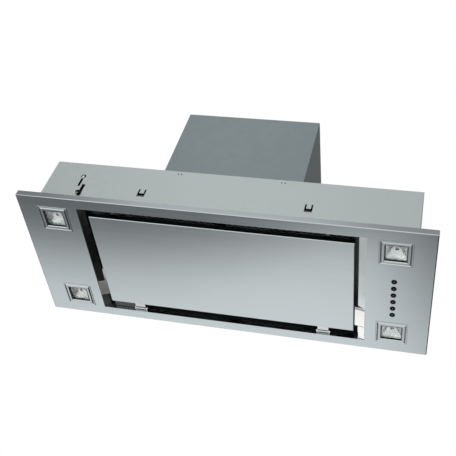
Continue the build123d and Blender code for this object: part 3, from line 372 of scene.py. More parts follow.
def moulded(name, colour, roughness, grain=1400.0, **constants):
    """Plastic with a grain of so many cells to the metre."""
    plastic = Finish(name, colour, roughness, **constants)
    skin = plastic.noise(grain, 2.0)
    worn = plastic.noise(35.0, 3.0)
    plastic.plug("Base Color", mix_colours(worn, shade(colour, 0.88), shade(colour, 1.12)))
    plastic.plug("Roughness", roughness - 0.08 + worn * 0.10 + skin * 0.06)
    plastic.bump(skin, MOULD_DEPTH, 0.3)
    return plastic.material


button_black = moulded("button_plastic", (0.003, 0.0033, 0.0036), 0.32, specular_ior_level=0.09)
# a pale grey for the dots in the buttons' dimples: painted highlight
button_dot_grey = moulded("button_highlight_paint", (0.22, 0.235, 0.24), 0.35)
case_grey = moulded("case_plastic", (0.62, 0.62, 0.59), 0.5)
block_white = moulded("switch_block_plastic", (0.70, 0.70, 0.67), 0.45)
wheel_black = moulded("blower_wheel_plastic", (0.035, 0.036, 0.04), 0.48)
collar_grey = moulded("collar_plastic", (0.055, 0.057, 0.062), 0.5)
latch_dark = moulded("latch_plastic", (0.045, 0.046, 0.05), 0.42)
gland_grey = moulded("gland_plastic", (0.30, 0.31, 0.32), 0.45)
seal_rubber = moulded("seal_rubber", (0.02, 0.02, 0.021), 0.7, 500.0)
motor_enamel = moulded("motor_enamel", (0.03, 0.031, 0.034), 0.3, 250.0, coat_weight=0.3)
ceramic = moulded("lamp_ceramic", (0.76, 0.74, 0.69), 0.62, 900.0)

# %% [markdown]
# The glasses are real dielectrics: light passes through them and is bent. A pressed lamp glass
# scatters it with its relief, and the quartz of a bulb is nearly smooth. The reflectors behind
# them carry a bright, dimpled metal coat.

# %% Glass and reflectors
LENS_RELIEF = 1.2 * MM
QUARTZ_RELIEF = 0.05 * MM
DIMPLE_DEPTH = 0.4 * MM


def pressed_glass(name, colour, roughness, relief):
    """Clear glass with ripples and cells of a depth."""
    glass = Finish(name, colour, roughness, ior=1.45, transmission_weight=1.0)
    ripple = glass.noise(75.0, 3.0)
    cells = glass.add("ShaderNodeTexVoronoi", {"feature": "SMOOTH_F1"},
                      {"Vector": glass.place, "Scale": 240.0, "Smoothness": 0.6})
    glass.plug("Base Color", mix_colours(ripple, shade(colour, 0.94), colour))
    glass.plug("Roughness", roughness + ripple * 0.08)
    glass.bump(ripple + cells * 0.5, relief, 0.7)
    return glass.material


lens_glass = pressed_glass("lamp_lens_glass", (0.99, 1.0, 1.0), 0.02, LENS_RELIEF)
bulb_quartz = pressed_glass("bulb_quartz", (0.95, 0.96, 0.95), 0.02, QUARTZ_RELIEF)


def vapour_coat(name):
    """The dimpled coat of a reflector."""
    coat = Finish(name, (0.80, 0.84, 0.825), 0.3, metallic=0.85)
    dimple = coat.noise(160.0, 2.0)
    coat.plug("Roughness", 0.22 + dimple * 0.12)
    coat.bump(dimple, DIMPLE_DEPTH, 0.5)
    return coat.material


reflector_coat = vapour_coat("reflector_coating")
tungsten = bright_steel("tungsten_wire", (0.35, 0.34, 0.33), 0.35)
print("materials:", len(bpy.data.materials))

# %% [markdown]
# ## Dress the CAD pieces
#
# A CAD piece whose shape is right keeps its mesh and only gets a finish. The table says which
# finish each family of nodes has; a node's name is matched by its beginning.

# %% Finishes for the CAD nodes
finish_of = {
    "face_plate": plate_steel,
    "panel_skin": panel_steel,
    # the parts inside take the near-black zinc: painted shade
    "panel_backing": shaded_inner_zinc,
    "housing_shell": housing_zinc,
    "inlet_plate": cover_zinc,
    "motor_box": shaded_box_zinc,
    "partition": shaded_inner_zinc,
    "filter_rail": shaded_inner_zinc,
    "filter_ledge": shaded_inner_zinc,
    "blower_scroll": shaded_inner_zinc,
    "air_deflector": strip_steel,
    "hinge": hinge_steel,
    "catch": black_steel,
    "catch_clips": plated_steel,
    "side_clamp": black_steel,
    "clamp_keepers": black_steel,
    "clamp_screws": plated_steel,
    "motor_bracket": plated_steel,
    "flap_axle": plated_steel,
    "filter_frame": filter_metal,
    "filter_mesh": filter_metal,
    "filter_latch": latch_dark,
    "lamp_bezel": bezel_metal,
    "lamp_glass": lens_glass,
    "lamp_reflectors": reflector_coat,
    "lamp_bulbs": bulb_quartz,
    "lamp_holders": ceramic,
    "button_block": block_white,
    "button": button_black,
    "control_box": case_grey,
    "lamp_driver": case_grey,
    "impeller": wheel_black,
    "duct_collar": collar_grey,
    "flap": collar_grey,
    "cable_gland": gland_grey,
}


def finish_for(node):
    """The finish whose key is the longest beginning of the node's name."""
    keys = [key for key in finish_of if node.startswith(key)]
    return finish_of[max(keys, key=len)] if keys else motor_enamel


for node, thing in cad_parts.items():
    thing.data.materials.clear()
    thing.data.materials.append(finish_for(node))
print("dressed", len(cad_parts), "nodes")

# %% [markdown]
# ## Mesh helpers
#
# New pieces are made with bmesh operators. `hang` turns a finished bmesh into an object that rides on a
# CAD body, takes a material, and may stand in for CAD nodes. Edges that bend by more than thirty
# degrees stay crisp, and the rest is shaded smooth.

# %% Mesh helpers
CRISP = math.radians(30)
MERGE = 0.001 * MM  # points closer than this become one


def hang(name, bm, material, body="hood", replaced=()):
    """Makes the bmesh an object that rides on a body."""
    bmesh.ops.remove_doubles(bm, verts=bm.verts, dist=MERGE)
    bmesh.ops.recalc_face_normals(bm, faces=bm.faces)
    mesh = bpy.data.meshes.new(name)
    bm.to_mesh(mesh)
    bm.free()
    mesh.materials.append(material)
    mesh.shade_smooth()
    mesh.set_sharp_from_angle(angle=CRISP)
    piece = bpy.data.objects.new(name, mesh)
    bpy.context.scene.collection.objects.link(piece)
    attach(piece, body)
    if replaced:
        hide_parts(*replaced)
    return piece


def facing(direction):
    """Turns the Z axis to a direction."""
    return Vector((0, 0, 1)).rotation_difference(Vector(direction)).to_matrix().to_4x4()


def only_verts(geometry):
    """The vertices among vertices, edges and faces."""
    return [part for part in geometry if isinstance(part, bmesh.types.BMVert)]


def copies(bm, matrices):
    """Replaces what is in the bmesh by one copy of it for each matrix."""
    source = bm.verts[:] + bm.edges[:] + bm.faces[:]
    for matrix in matrices:
        made = bmesh.ops.duplicate(bm, geom=source)["geom"]
        bmesh.ops.transform(bm, matrix=matrix, verts=only_verts(made))
    bmesh.ops.delete(bm, geom=only_verts(source), context="VERTS")


def at_lamps(level):
    """A matrix for each lamp, at one level."""
    return [Matrix.Translation((place.x, place.y, level)) for place in lamp_places.values()]


def square_tube(bm, half, low, high, wall):
    """Adds four upright walls round the Z axis; the wall grows inwards."""
    verts = bmesh.ops.create_cube(bm, size=2 * half)["verts"]
    bmesh.ops.scale(bm, vec=(1, 1, (high - low) / (2 * half)), verts=verts)
    bmesh.ops.translate(bm, vec=(0, 0, (high + low) / 2), verts=verts)
    faces = {face for v in verts for face in v.link_faces}
    ends = [face for face in faces if abs(face.normal.z) > 0.5]
    bmesh.ops.delete(bm, geom=ends, context="FACES_ONLY")
    sides = [face for face in faces if face.is_valid]
    bmesh.ops.solidify(bm, geom=sides, thickness=wall)


def rod(bm, radius, length, sides):
    """Adds a rod along the X axis."""
    verts = bmesh.ops.create_cone(bm, cap_ends=True, segments=sides, radius1=radius, radius2=radius,
                                  depth=length)["verts"]
    bmesh.ops.rotate(bm, verts=verts, matrix=Matrix.Rotation(math.radians(90), 3, "Y"))
    return verts


# %% [markdown]
# ## Lamp frames
#
# Each lamp has a square frame with a stepped face: a thin flange on the plate, a V-shaped groove, a
# raised step, and a slope that falls to the glass. Such a profile is one square face, inset again
# and again: each inset has a width, and a depth along the face's normal. What is left in the
# middle is deleted for the glass. The body that goes up through the plate is a square tube.

# %% Lamp frames
FRAME_HALF = 33.0 * MM
# (inwards, down) steps of the face's profile, from the flange's outer edge to the glass
FRAME_STEPS = (
    (0.02, 0.4), (0.6, 0.6), (2.0, 0.0), (1.4, -1.0), (1.4, 1.4), (0.5, 0.3),
    (4.3, 0.0), (1.6, -1.3), (0.3, -0.3), (0.15, -4.6),
)
BODY_HALF = 27.5 * MM
BODY_TOP = 6.0 * MM
BODY_WALL = 1.6 * MM


def lamp_frame(place):
    """The stepped face and the square body of one lamp."""
    bm = bmesh.new()
    bmesh.ops.create_grid(bm, x_segments=1, y_segments=1, size=FRAME_HALF)
    bmesh.ops.reverse_faces(bm, faces=bm.faces)
    face = bm.faces[:]
    for inwards, down in FRAME_STEPS:
        bmesh.ops.inset_region(bm, faces=face, thickness=inwards * MM, depth=down * MM,
                               use_even_offset=True, use_boundary=True)
    bmesh.ops.delete(bm, geom=face, context="FACES_ONLY")
    square_tube(bm, BODY_HALF, 0.0, BODY_TOP - UNDERSIDE, BODY_WALL)
    bmesh.ops.translate(bm, vec=(place.x, place.y, UNDERSIDE), verts=bm.verts)
    return bm


for corner, place in lamp_places.items():
    hang(f"lamp_frame_{corner}", lamp_frame(place), bezel_metal,
         replaced=[f"lamp_bezel_{corner}"])

# %% [markdown]
# A black rubber seal lines the opening below each glass; its black paints the shadow line round the
# glass. It is a low square tube: a cube without its top and bottom, given a wall.

# %% Glass seals, black as painted shadow
SHADOW_SEAL_HALF = 21.0 * MM
SHADOW_SEAL_WALL = 0.8 * MM
SHADOW_SEAL_LOW = UNDERSIDE - 0.5 * MM
LENS_LOW = UNDERSIDE + 3.6 * MM

bm = bmesh.new()
square_tube(bm, SHADOW_SEAL_HALF, SHADOW_SEAL_LOW, LENS_LOW, SHADOW_SEAL_WALL)
copies(bm, at_lamps(0.0))
# the black of the seals is a painted shadow line round each glass
hang("lamp_shadow_seals", bm, seal_rubber)

# %% [markdown]
# The glass is pressed: its inner face is flat and its outer face carries a soft relief that spreads
# the light. A fine grid is lifted by two crossed waves and a shallow crown, and given a thickness.

# %% Pressed glasses
LENS_HALF = 22.3 * MM
LENS_CELLS = 20
LENS_T = 1.4 * MM
LENS_CROWN = 0.7 * MM
LENS_WAVE = 0.16 * MM
WAVES = 5.0      # half waves from the middle to the edge
CROWN_FADE = 4   # how steeply the waves fade at the edge


def pressed_lens():
    """One square glass round the Z axis, relief downwards."""
    bm = bmesh.new()
    bmesh.ops.create_grid(bm, x_segments=LENS_CELLS, y_segments=LENS_CELLS, size=LENS_HALF)
    for v in bm.verts:
        u, w = v.co.x / LENS_HALF, v.co.y / LENS_HALF
        crown = (1 - u * u) * (1 - w * w)
        turns = WAVES * math.pi
        wave = math.sin(turns * (u + 0.3 * w)) * math.sin(turns * (w - 0.2 * u))
        v.co.z = -LENS_CROWN * crown - LENS_WAVE * wave * min(1.0, CROWN_FADE * crown)
    bmesh.ops.solidify(bm, geom=bm.faces[:], thickness=-LENS_T)
    return bm


for corner, place in lamp_places.items():
    bm = pressed_lens()
    bmesh.ops.translate(bm, vec=(place.x, place.y, LENS_LOW), verts=bm.verts)
    hang(f"lamp_lens_{corner}", bm, lens_glass, replaced=[f"lamp_glass_{corner}"])

# %% [markdown]
# ## Reflectors
#
# Behind each glass sits a faceted reflector, square at its mouth and round at its neck. Two loops
# of sixteen points, a square and a circle, are bridged, cut into rings and pushed outwards in the
# middle, which makes the hollow bowl; the facets stay because few faces are left.

# %% Reflectors
MOUTH_HALF = 24.0 * MM
NECK_RADIUS = 6.5 * MM
BOWL_POINTS = 16
BOWL_RINGS = 4
BOWL_BULGE = 4.0 * MM
BOWL_TAPER = 0.4  # share of the bulge that is lost towards the neck
COAT_WALL = 0.8 * MM
reflector_low, reflector_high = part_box("lamp_reflectors")


def bowl():
    """One hollow reflector, its mouth on z = 0."""
    bm = bmesh.new()
    height = reflector_high.z - reflector_low.z
    mouth = bmesh.ops.create_circle(bm, segments=BOWL_POINTS, radius=MOUTH_HALF)["verts"]
    for v in mouth:
        stretch = MOUTH_HALF / max(abs(v.co.x), abs(v.co.y))
        v.co.x *= stretch
        v.co.y *= stretch
    neck = bmesh.ops.create_circle(bm, segments=BOWL_POINTS, radius=NECK_RADIUS)["verts"]
    bmesh.ops.translate(bm, vec=(0, 0, height - COAT_WALL), verts=neck)
    made = bmesh.ops.bridge_loops(bm, edges=bm.edges[:])
    rungs = [e for e in made["edges"] if abs(e.verts[0].co.z - e.verts[1].co.z) > height / 2]
    bmesh.ops.subdivide_edges(bm, edges=rungs, cuts=BOWL_RINGS, use_grid_fill=False)
    for v in bm.verts:
        share = v.co.z / height
        outwards = Vector((v.co.x, v.co.y, 0)).normalized()
        bulge = BOWL_BULGE * math.sin(math.pi * min(1.0, share)) * (1 - BOWL_TAPER * share)
        v.co += outwards * bulge
    bmesh.ops.recalc_face_normals(bm, faces=bm.faces)
    bmesh.ops.solidify(bm, geom=bm.faces[:], thickness=COAT_WALL / 2)
    return bm


bm = bowl()
copies(bm, at_lamps(reflector_low.z + COAT_WALL))
hang("lamp_reflector_bowls", bm, reflector_coat, replaced=["lamp_reflectors"])

# %% [markdown]
# ## Bulbs
#
# The halogen capsules are drawn quartz tubes: a round body, a pinched foot, and the little pip
# where the tube was melted off after filling. A profile of a few points is spun round the axis.
# The filament is a thin coil, which is a small ring repeated along a line.

# %% Bulbs
# (radius, height) points in millimetres
BULB_PROFILE = ((0.0, 0.0), (0.7, 0.3), (0.9, 1.3), (2.6, 2.2),
                (4.0, 4.0), (4.1, 10.5), (3.1, 12.0), (3.0, 15.0))
ROUND = 14
COIL_TURNS = 7
COIL_PITCH = 0.6 * MM
COIL_RADIUS = 0.55 * MM
COIL_WIRE = 0.35 * MM
COIL_SIDES = 6
COIL_RISE = 7.0 * MM  # above the bulb's lowest point
bulb_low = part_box("lamp_bulbs")[0]


def lathe(bm, profile, steps=ROUND):
    """Spins a profile of (radius, height) points round the Z axis."""
    verts = [bm.verts.new((r * MM, 0.0, z * MM)) for r, z in profile]
    edges = [bm.edges.new(pair) for pair in zip(verts, verts[1:])]
    bmesh.ops.spin(bm, geom=verts + edges, cent=(0, 0, 0), axis=(0, 0, 1), dvec=(0, 0, 0),
                   angle=2 * math.pi, steps=steps, use_merge=True)


bm = bmesh.new()
lathe(bm, BULB_PROFILE)
copies(bm, at_lamps(bulb_low.z))
hang("lamp_capsules", bm, bulb_quartz, replaced=["lamp_bulbs"])

bm = bmesh.new()
rod(bm, COIL_RADIUS, COIL_WIRE, COIL_SIDES)
turns = [Matrix.Translation((p.x + (i - COIL_TURNS / 2) * COIL_PITCH, p.y, bulb_low.z + COIL_RISE))
         for p in lamp_places.values() for i in range(COIL_TURNS)]
copies(bm, turns)
hang("lamp_filaments", bm, tungsten)

# %% [markdown]
# ## Painted highlights in the buttons
#
# Each push button has a tiny pale dome in its dimple: a painted highlight. It is a shallow dome of
# twelve sides, spun from four points.

# %% Painted highlights
HIGHLIGHT_DOT_PROFILE = ((0.0, 0.0), (0.9, 0.1), (1.3, 0.4), (1.3, 0.9))
HIGHLIGHT_DOT_SIDES = 12
HIGHLIGHT_DOT_RISE = 0.15 * MM
for number in range(1, 7):
    low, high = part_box(f"button_{number}")
    spot = ((low.x + high.x) / 2, (low.y + high.y) / 2, low.z + HIGHLIGHT_DOT_RISE)
    bm = bmesh.new()
    lathe(bm, HIGHLIGHT_DOT_PROFILE, HIGHLIGHT_DOT_SIDES)
    bmesh.ops.translate(bm, vec=spot, verts=bm.verts)
    hang(f"button_highlight_dot_{number}", bm, button_dot_grey, body=f"button_{number}")

# %% [markdown]
# ## Filter mesh
#
# Grease filters are packs of expanded aluminium: a sheet that is slit and pulled until each slit
# opens to a diamond. A grid that stands on its corner has the same cells. It is cut to the frame
# with four planes, and `wireframe` turns its edges to strands. Two layers lie on each other, the
# upper one turned, so that the fat has no straight way through.

# %% Filter mesh
CELL_W = 14.0 * MM
CELL_D = 9.0 * MM
STRAND = 0.9 * MM
LOWER_LAYER = 0.1 * MM  # above the filter's lowest level
UPPER_LAYER = 1.1 * MM


def diamond_layer(bm, low, high, level, cell_w, cell_d):
    """Adds a sheet of diamonds between two corners at one level."""
    half = (high - low) / 2
    cells = math.ceil(2 * (half.x / cell_w + half.y / cell_d)) + 1
    verts = bmesh.ops.create_grid(bm, x_segments=cells, y_segments=cells, size=cells / 2)["verts"]
    bmesh.ops.rotate(bm, verts=verts, matrix=Matrix.Rotation(math.radians(45), 3, "Z"))
    bmesh.ops.scale(bm, vec=(cell_w / math.sqrt(2), cell_d / math.sqrt(2), 1), verts=verts)
    centre = (low + high) / 2
    bmesh.ops.translate(bm, vec=(centre.x, centre.y, level), verts=verts)
    sides = ((low, (-1, 0, 0)), (low, (0, -1, 0)), (high, (1, 0, 0)), (high, (0, 1, 0)))
    for corner, normal in sides:
        bmesh.ops.bisect_plane(bm, geom=bm.verts[:] + bm.edges[:] + bm.faces[:], dist=1e-7,
                               plane_co=(corner.x, corner.y, level), plane_no=normal, clear_outer=True)


def mesh_pack(node):
    """The two layers of strands of one filter."""
    low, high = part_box(node)
    pack = bmesh.new()
    for rise, wide, deep in ((LOWER_LAYER, CELL_W, CELL_D), (UPPER_LAYER, CELL_D, CELL_W)):
        layer = bmesh.new()
        diamond_layer(layer, low, high, low.z + rise, wide, deep)
        bmesh.ops.wireframe(layer, faces=layer.faces[:], thickness=STRAND, use_replace=True,
                            use_boundary=False, use_even_offset=False)
        sheet = bpy.data.meshes.new("layer")
        layer.to_mesh(sheet)
        layer.free()
        pack.from_mesh(sheet)
        bpy.data.meshes.remove(sheet)
    return pack


for side in SIDES:
    piece = hang(f"filter_strands_{side}", mesh_pack(f"filter_mesh_{side}"), filter_metal,
                 replaced=[f"filter_mesh_{side}"])
    print(piece.name, len(piece.data.polygons), "faces")

# %% [markdown]
# ## Strip wings
#
# At the hinge end each sloped strip carries a wing of satin sheet, which closes the gap beside the
# panel. The left one lies on the strip and rises gently towards the front; the right one is bent
# flatter and nearly flush with the panel. Rows of points across the gap, from front to rear, make
# the sheet, and `solidify` gives it its thickness.

# %% Strip wings
# (rear, up) points of the left wing's lower face above the strip's slope, from front to rear
LEFT_PROFILE = ((34.0, 3.4), (46.0, 1.9), (58.0, 0.7), (68.0, 0.0), (78.0, -0.4), (111.5, -0.7))
# (rear, level inside, level outside) of the right wing's lower face
RIGHT_PROFILE = ((55.0, -7.4, -12.1), (59.0, -8.6, -12.25), (61.0, -8.85, -12.3),
                 (63.0, -8.9, -12.35), (111.0, -9.1, -12.5))
WING_CLEAR = 1.0 * MM
WING_T = 0.8 * MM
STRIP_RUN = 15.5 * MM   # the sloped part of the strip, seen from below
STRIP_DROP = 6.0 * MM


def bent_sheet(rows):
    """A sheet through rows of points, thickened upwards."""
    bm = bmesh.new()
    rows = [[bm.verts.new(point) for point in row] for row in rows]
    for first, second in zip(rows, rows[1:]):
        bm.faces.new((first[0], first[1], second[1], second[0]))
    bmesh.ops.recalc_face_normals(bm, faces=bm.faces)
    up_facing = bm.faces[:][0].normal.z > 0
    bmesh.ops.solidify(bm, geom=bm.faces[:], thickness=-WING_T if up_facing else WING_T)
    return bm


def level_rows(profile, start, end):
    """Rows of two points, from (rear, level at the start, level at the end)."""
    return [[(start, y * MM, z_start * MM), (end, y * MM, z_end * MM)] for y, z_start, z_end in profile]


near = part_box("air_deflector_right")[0].x
strip_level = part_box("air_deflector_right")[0].z + STRIP_DROP
inner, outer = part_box("panel_skin")[1].x + WING_CLEAR, near + STRIP_RUN - SHEET
left_rows = []
for y, rise in LEFT_PROFILE:
    levels = [strip_level - (x - near) * STRIP_DROP / STRIP_RUN + rise * MM for x in (inner, outer)]
    left_rows.append([(-x, y * MM, z) for x, z in zip((inner, outer), levels)])
right_rows = level_rows(RIGHT_PROFILE, inner, outer)
hang("strip_wing_left", bent_sheet(left_rows), satin_steel)
# the right wing takes the lighter copy of the steel: painted light
hang("strip_wing_right", bent_sheet(right_rows), lit_wing_steel)

# %% [markdown]
# Two more sheets are made the same way: a cover over the rear end of the right strip, in the lighter
# wing steel that paints light, and a tongue in the gap between the left strip and the hinge strap, in
# the near-black inside zinc that paints the shade in that gap.

# %% Strip cover and rear tongue
# (rear, level at the start, level at the end) of the lower faces
COVER_PROFILE = ((112.6, -10.2, -12.4), (151.5, -10.2, -12.4))
COVER_CLEAR = 1.6 * MM
TONGUE_PROFILE = ((131.0, -4.6, -3.8), (151.5, -5.0, -4.2))
TONGUE_START = -274.0 * MM
TONGUE_CLEAR = 1.5 * MM
cover_rows = level_rows(COVER_PROFILE, near + COVER_CLEAR, outer)
# the cover takes the lighter copy of the steel: painted light
hang("strip_cover_right", bent_sheet(cover_rows), lit_wing_steel)
strap_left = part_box("hinge_leaf_left")[0].x
tongue_rows = level_rows(TONGUE_PROFILE, TONGUE_START, strap_left - TONGUE_CLEAR)
# the tongue's near-black zinc is painted shade in the gap
hang("rear_tongue_left", bent_sheet(tongue_rows), shaded_inner_zinc)

# %% [markdown]
# Rubber pads close the two rear corners of the opening, and a bead of the near-black inside zinc lies
# across each hinge strap where it was folded: painted shade along the fold.

# %% Corner pads and strap beads
PAD_LOW, PAD_HIGH = -12.5 * MM, 2.0 * MM
PAD_FRONT, PAD_REAR = 149.8 * MM, 152.4 * MM
PADS = ((-297.5 * MM, -275.8 * MM), (275.8 * MM, 283.2 * MM))
BEAD_RADIUS = 1.6 * MM
BEAD_SIDES = 16
BEAD_REAR = 141.0 * MM
BEAD_PROUD = 1.0 * MM
bm = bmesh.new()
for left_end, right_end in PADS:
    low, high = Vector((left_end, PAD_FRONT, PAD_LOW)), Vector((right_end, PAD_REAR, PAD_HIGH))
    verts = bmesh.ops.create_cube(bm, size=1.0)["verts"]
    bmesh.ops.scale(bm, vec=high - low, verts=verts)
    bmesh.ops.translate(bm, vec=(low + high) / 2, verts=verts)
hang("corner_pads", bm, seal_rubber)

bm = bmesh.new()
for side in SIDES:
    low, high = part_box(f"hinge_leaf_{side}")
    verts = rod(bm, BEAD_RADIUS, high.x - low.x, BEAD_SIDES)
    spot = ((low.x + high.x) / 2, BEAD_REAR, low.z + BEAD_RADIUS - BEAD_PROUD)
    bmesh.ops.translate(bm, vec=spot, verts=verts)
# the beads' near-black zinc is painted shade along the folds
hang("strap_beads", bm, shaded_inner_zinc, body="panel")

# %% [markdown]
# ## Screws and rivets
#
# Small fasteners show how the sheet metal is held: pan-head screws with a cross recess, and blind
# rivets with a dimple. The screw's head starts as a square grid of five by five cells that is
# mapped to a disc; the cells of the cross are pushed in. All fasteners of one kind are one piece.

# %% Screw and rivet shapes
UP, FORWARD, BACKWARD = (0, 0, 1), (0, -1, 0), (0, 1, 0)
GRID = 5
RECESS = {(2, 1), (2, 2), (2, 3), (1, 2), (3, 2)}
# shares of the head's height
DOME_FALL = 0.45
RECESS_DEPTH = 0.55
# (radius, height) points of a rivet's head, as shares of its radius
RIVET_PROFILE = ((0.0, 0.25), (0.35, 0.25), (0.4, 0.5), (0.75, 0.4), (1.0, 0.0))
RIVET_SIDES = 12


def screw_head(radius, height):
    """Pan head with a cross recess on z = 0, pointing up."""
    bm = bmesh.new()
    bmesh.ops.create_grid(bm, x_segments=GRID, y_segments=GRID, size=1.0)
    cells = {}
    for face in bm.faces:
        spot = face.calc_center_median()
        cells[(round((spot.x + 1) * GRID / 2 - 0.5), round((spot.y + 1) * GRID / 2 - 0.5))] = face
    rim = [edge for edge in bm.edges if edge.is_boundary]
    for v in bm.verts:
        u, w = v.co.x, v.co.y
        v.co = Vector((u * math.sqrt(1 - w * w / 2), w * math.sqrt(1 - u * u / 2), 0))
        v.co.z = height / radius * (1 - DOME_FALL * v.co.length_squared)
    skirt = bmesh.ops.extrude_edge_only(bm, edges=rim)["geom"]
    for v in only_verts(skirt):
        v.co.z = 0
    cross = [cells[spot] for spot in RECESS]
    pushed = bmesh.ops.extrude_face_region(bm, geom=cross)["geom"]
    bmesh.ops.delete(bm, geom=cross, context="FACES_ONLY")
    sunk = (0, 0, -RECESS_DEPTH * height / radius)
    bmesh.ops.translate(bm, vec=sunk, verts=only_verts(pushed))
    bmesh.ops.scale(bm, vec=(radius, radius, radius), verts=bm.verts)
    return bm


def rivet_head(radius):
    """Blind rivet on z = 0: a low dome with a dimple."""
    bm = bmesh.new()
    lathe(bm, [(r * radius / MM, z * radius / MM) for r, z in RIVET_PROFILE], RIVET_SIDES)
    return bm


def flat_spots(xs, ys, level):
    """A place that faces up for each x and each y, at one level."""
    return [(Vector((x, y, level)), UP) for x in xs for y in ys]


def fasten(name, shape, spots, material, body="hood"):
    """One piece with a fastener at each (place, direction)."""
    copies(shape, [Matrix.Translation(place) @ facing(way) for place, way in spots])
    return hang(name, shape, material, body)


# %% [markdown]
# Pairs of small dark rivets sit high on the housing's front and rear walls. Larger ones hold its
# foot to the plate: seven along each long side and three at each end.

# %% Rivets on the housing
RIVET_X = 111.5 * MM
RIVET_PAIR = 3.6 * MM   # from the middle of a pair
RIVET_Z = 120.5 * MM
WALL_RIVET = 1.5 * MM
FOOT_RIVET = 2.6 * MM
FOOT_COUNT = 7
FOOT_PITCH = 118.0 * MM
END_PITCH = 90.0 * MM
spots = []
for x in (-RIVET_X, RIVET_X):
    for step in (-RIVET_PAIR, RIVET_PAIR):
        spots.append((Vector((x + step, wall_front, RIVET_Z)), FORWARD))
        spots.append((Vector((x + step, wall_rear, RIVET_Z)), BACKWARD))
fasten("housing_rivet_pairs", rivet_head(WALL_RIVET), spots, seal_rubber)

foot_top = plate_low.z + 2 * SHEET
foot_middle = HOUSE_FLANGE / 2
foot_row = [(i - FOOT_COUNT // 2) * FOOT_PITCH for i in range(FOOT_COUNT)]
spots = flat_spots(foot_row, (house_low.y + foot_middle, house_high.y - foot_middle), foot_top)
spots += flat_spots((house_low.x + foot_middle, house_high.x - foot_middle),
                    (-END_PITCH, 0.0, END_PITCH), foot_top)
fasten("foot_flange_rivets", rivet_head(FOOT_RIVET), spots, plated_steel)

# %% [markdown]
# Screws hold the lid on the motor box, the collar on the lid, and the cable inlet's cover plate on
# the housing. Lid and cover have them in rows, the collar in a ring on its foot.

# %% Screws on the lid, the collar and the cover plate
# (radius, height) of the heads
LID_HEAD = (3.4 * MM, 2.2 * MM)
COLLAR_HEAD = (3.2 * MM, 2.2 * MM)
COVER_HEAD = (2.8 * MM, 1.8 * MM)
LID_MARGIN = 8.0 * MM
LID_SHARES = (0.06, 0.5, 0.94)  # of the lid's depth
COLLAR_SCREWS = 6
COLLAR_MARGIN = 6.5 * MM
COLLAR_FOOT = 3.0 * MM
COVER_MARGIN = 7.0 * MM

lid_row = [lid_low.y + share * (lid_high.y - lid_low.y) for share in LID_SHARES]
spots = flat_spots((lid_low.x + LID_MARGIN, lid_high.x - LID_MARGIN), lid_row, lid_high.z)
fasten("lid_screws", screw_head(*LID_HEAD), spots, plated_steel)

collar_middle = (collar_low + collar_high) / 2
ring = (collar_high.x - collar_low.x) / 2 - COLLAR_MARGIN
spots = []
for i in range(COLLAR_SCREWS):
    angle = 2 * math.pi * (i + 0.5) / COLLAR_SCREWS
    x, y = collar_middle.x + ring * math.cos(angle), collar_middle.y + ring * math.sin(angle)
    spots.append((Vector((x, y, collar_low.z + COLLAR_FOOT)), UP))
fasten("collar_screws", screw_head(*COLLAR_HEAD), spots, plated_steel)

cover_low, cover_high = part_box("inlet_plate")
spots = flat_spots((cover_low.x + COVER_MARGIN, cover_high.x - COVER_MARGIN),
                   (cover_low.y + COVER_MARGIN, cover_high.y - COVER_MARGIN), cover_high.z)
fasten("cover_screws", screw_head(*COVER_HEAD), spots, plated_steel)

# %% [markdown]
# Each side clamp has a pin in its hook, which moves with it, and each clamp screw shows its head in
# the wall.

# %% Pins and screws of the side clamps
PIN_RADIUS = 1.7 * MM
PIN_LOW = 3.0 * MM      # from the hook's lowest point to its pin
TIP_RADIUS = 4.6 * MM
SCREW_RADIUS = 3.2 * MM
SCREW_PROUD = 0.9 * MM
for node, way in (("side_clamp_front_left", FORWARD), ("side_clamp_rear_right", BACKWARD)):
    low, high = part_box(node)
    corner, inwards = (low, 1) if way == FORWARD else (high, -1)
    spot = Vector((corner.x + inwards * TIP_RADIUS, corner.y, low.z + PIN_LOW))
    fasten(f"{node}_pin", rivet_head(PIN_RADIUS), [(spot, way)], chrome, node)

low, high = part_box("clamp_screws")
spots = [(Vector((low.x + SCREW_RADIUS, low.y, (low.z + high.z) / 2)), FORWARD),
         (Vector((high.x - SCREW_RADIUS, high.y, (low.z + high.z) / 2)), BACKWARD)]
fasten("clamp_screw_heads", screw_head(SCREW_RADIUS, SCREW_PROUD), spots, chrome)

# %% [markdown]
# ## Collar ribs
#
# The moulded spigot has low ribs where the duct is clamped. Each rib is a spun profile of four
# points.

# %% Collar ribs
RIB_LEVELS = (22.0, 30.0, 38.0)
# (radius, height) points round a rib's level
RIB_PROFILE = ((74.9, -1.2), (76.2, -0.4), (76.2, 0.4), (74.9, 1.2))
RIB_SIDES = 48
bm = bmesh.new()
for level in RIB_LEVELS:
    lathe(bm, [(r, level + z) for r, z in RIB_PROFILE], RIB_SIDES)
bmesh.ops.translate(bm, vec=(collar_middle.x, collar_middle.y, collar_low.z), verts=bm.verts)
hang("collar_ribs", bm, collar_grey)

# %% [markdown]
# ## Floor, world and lights
#
# The picture has a white background, and steel shows whatever surrounds it, so the surroundings
# matter as much as the steel. The world is white to the camera and through glass. To reflections it
# is a studio of soft-edged fields, each a product of ramps over the direction's X, Y and Z:
#
# - behind and below, a pale wall that the plate and the panel show: a dim band crosses it, it is
#   dark beyond its left edge and fades out at the right, with a dark floor at its foot and a bright
#   one deep down;
# - in front and below, a bright floor that dims far in front;
# - behind and above, a dim room, brighter low down and left of its middle;
# - in front and above, a wall that is brightest left of its middle.

# %% World
world = bpy.data.worlds.new("studio")
bpy.context.scene.world = world
world.use_nodes = True
tree = world.node_tree
background = tree.nodes["Background"]
direction = add_node(tree, "ShaderNodeTexCoord", output="Generated")
right, rear, up = split(direction)


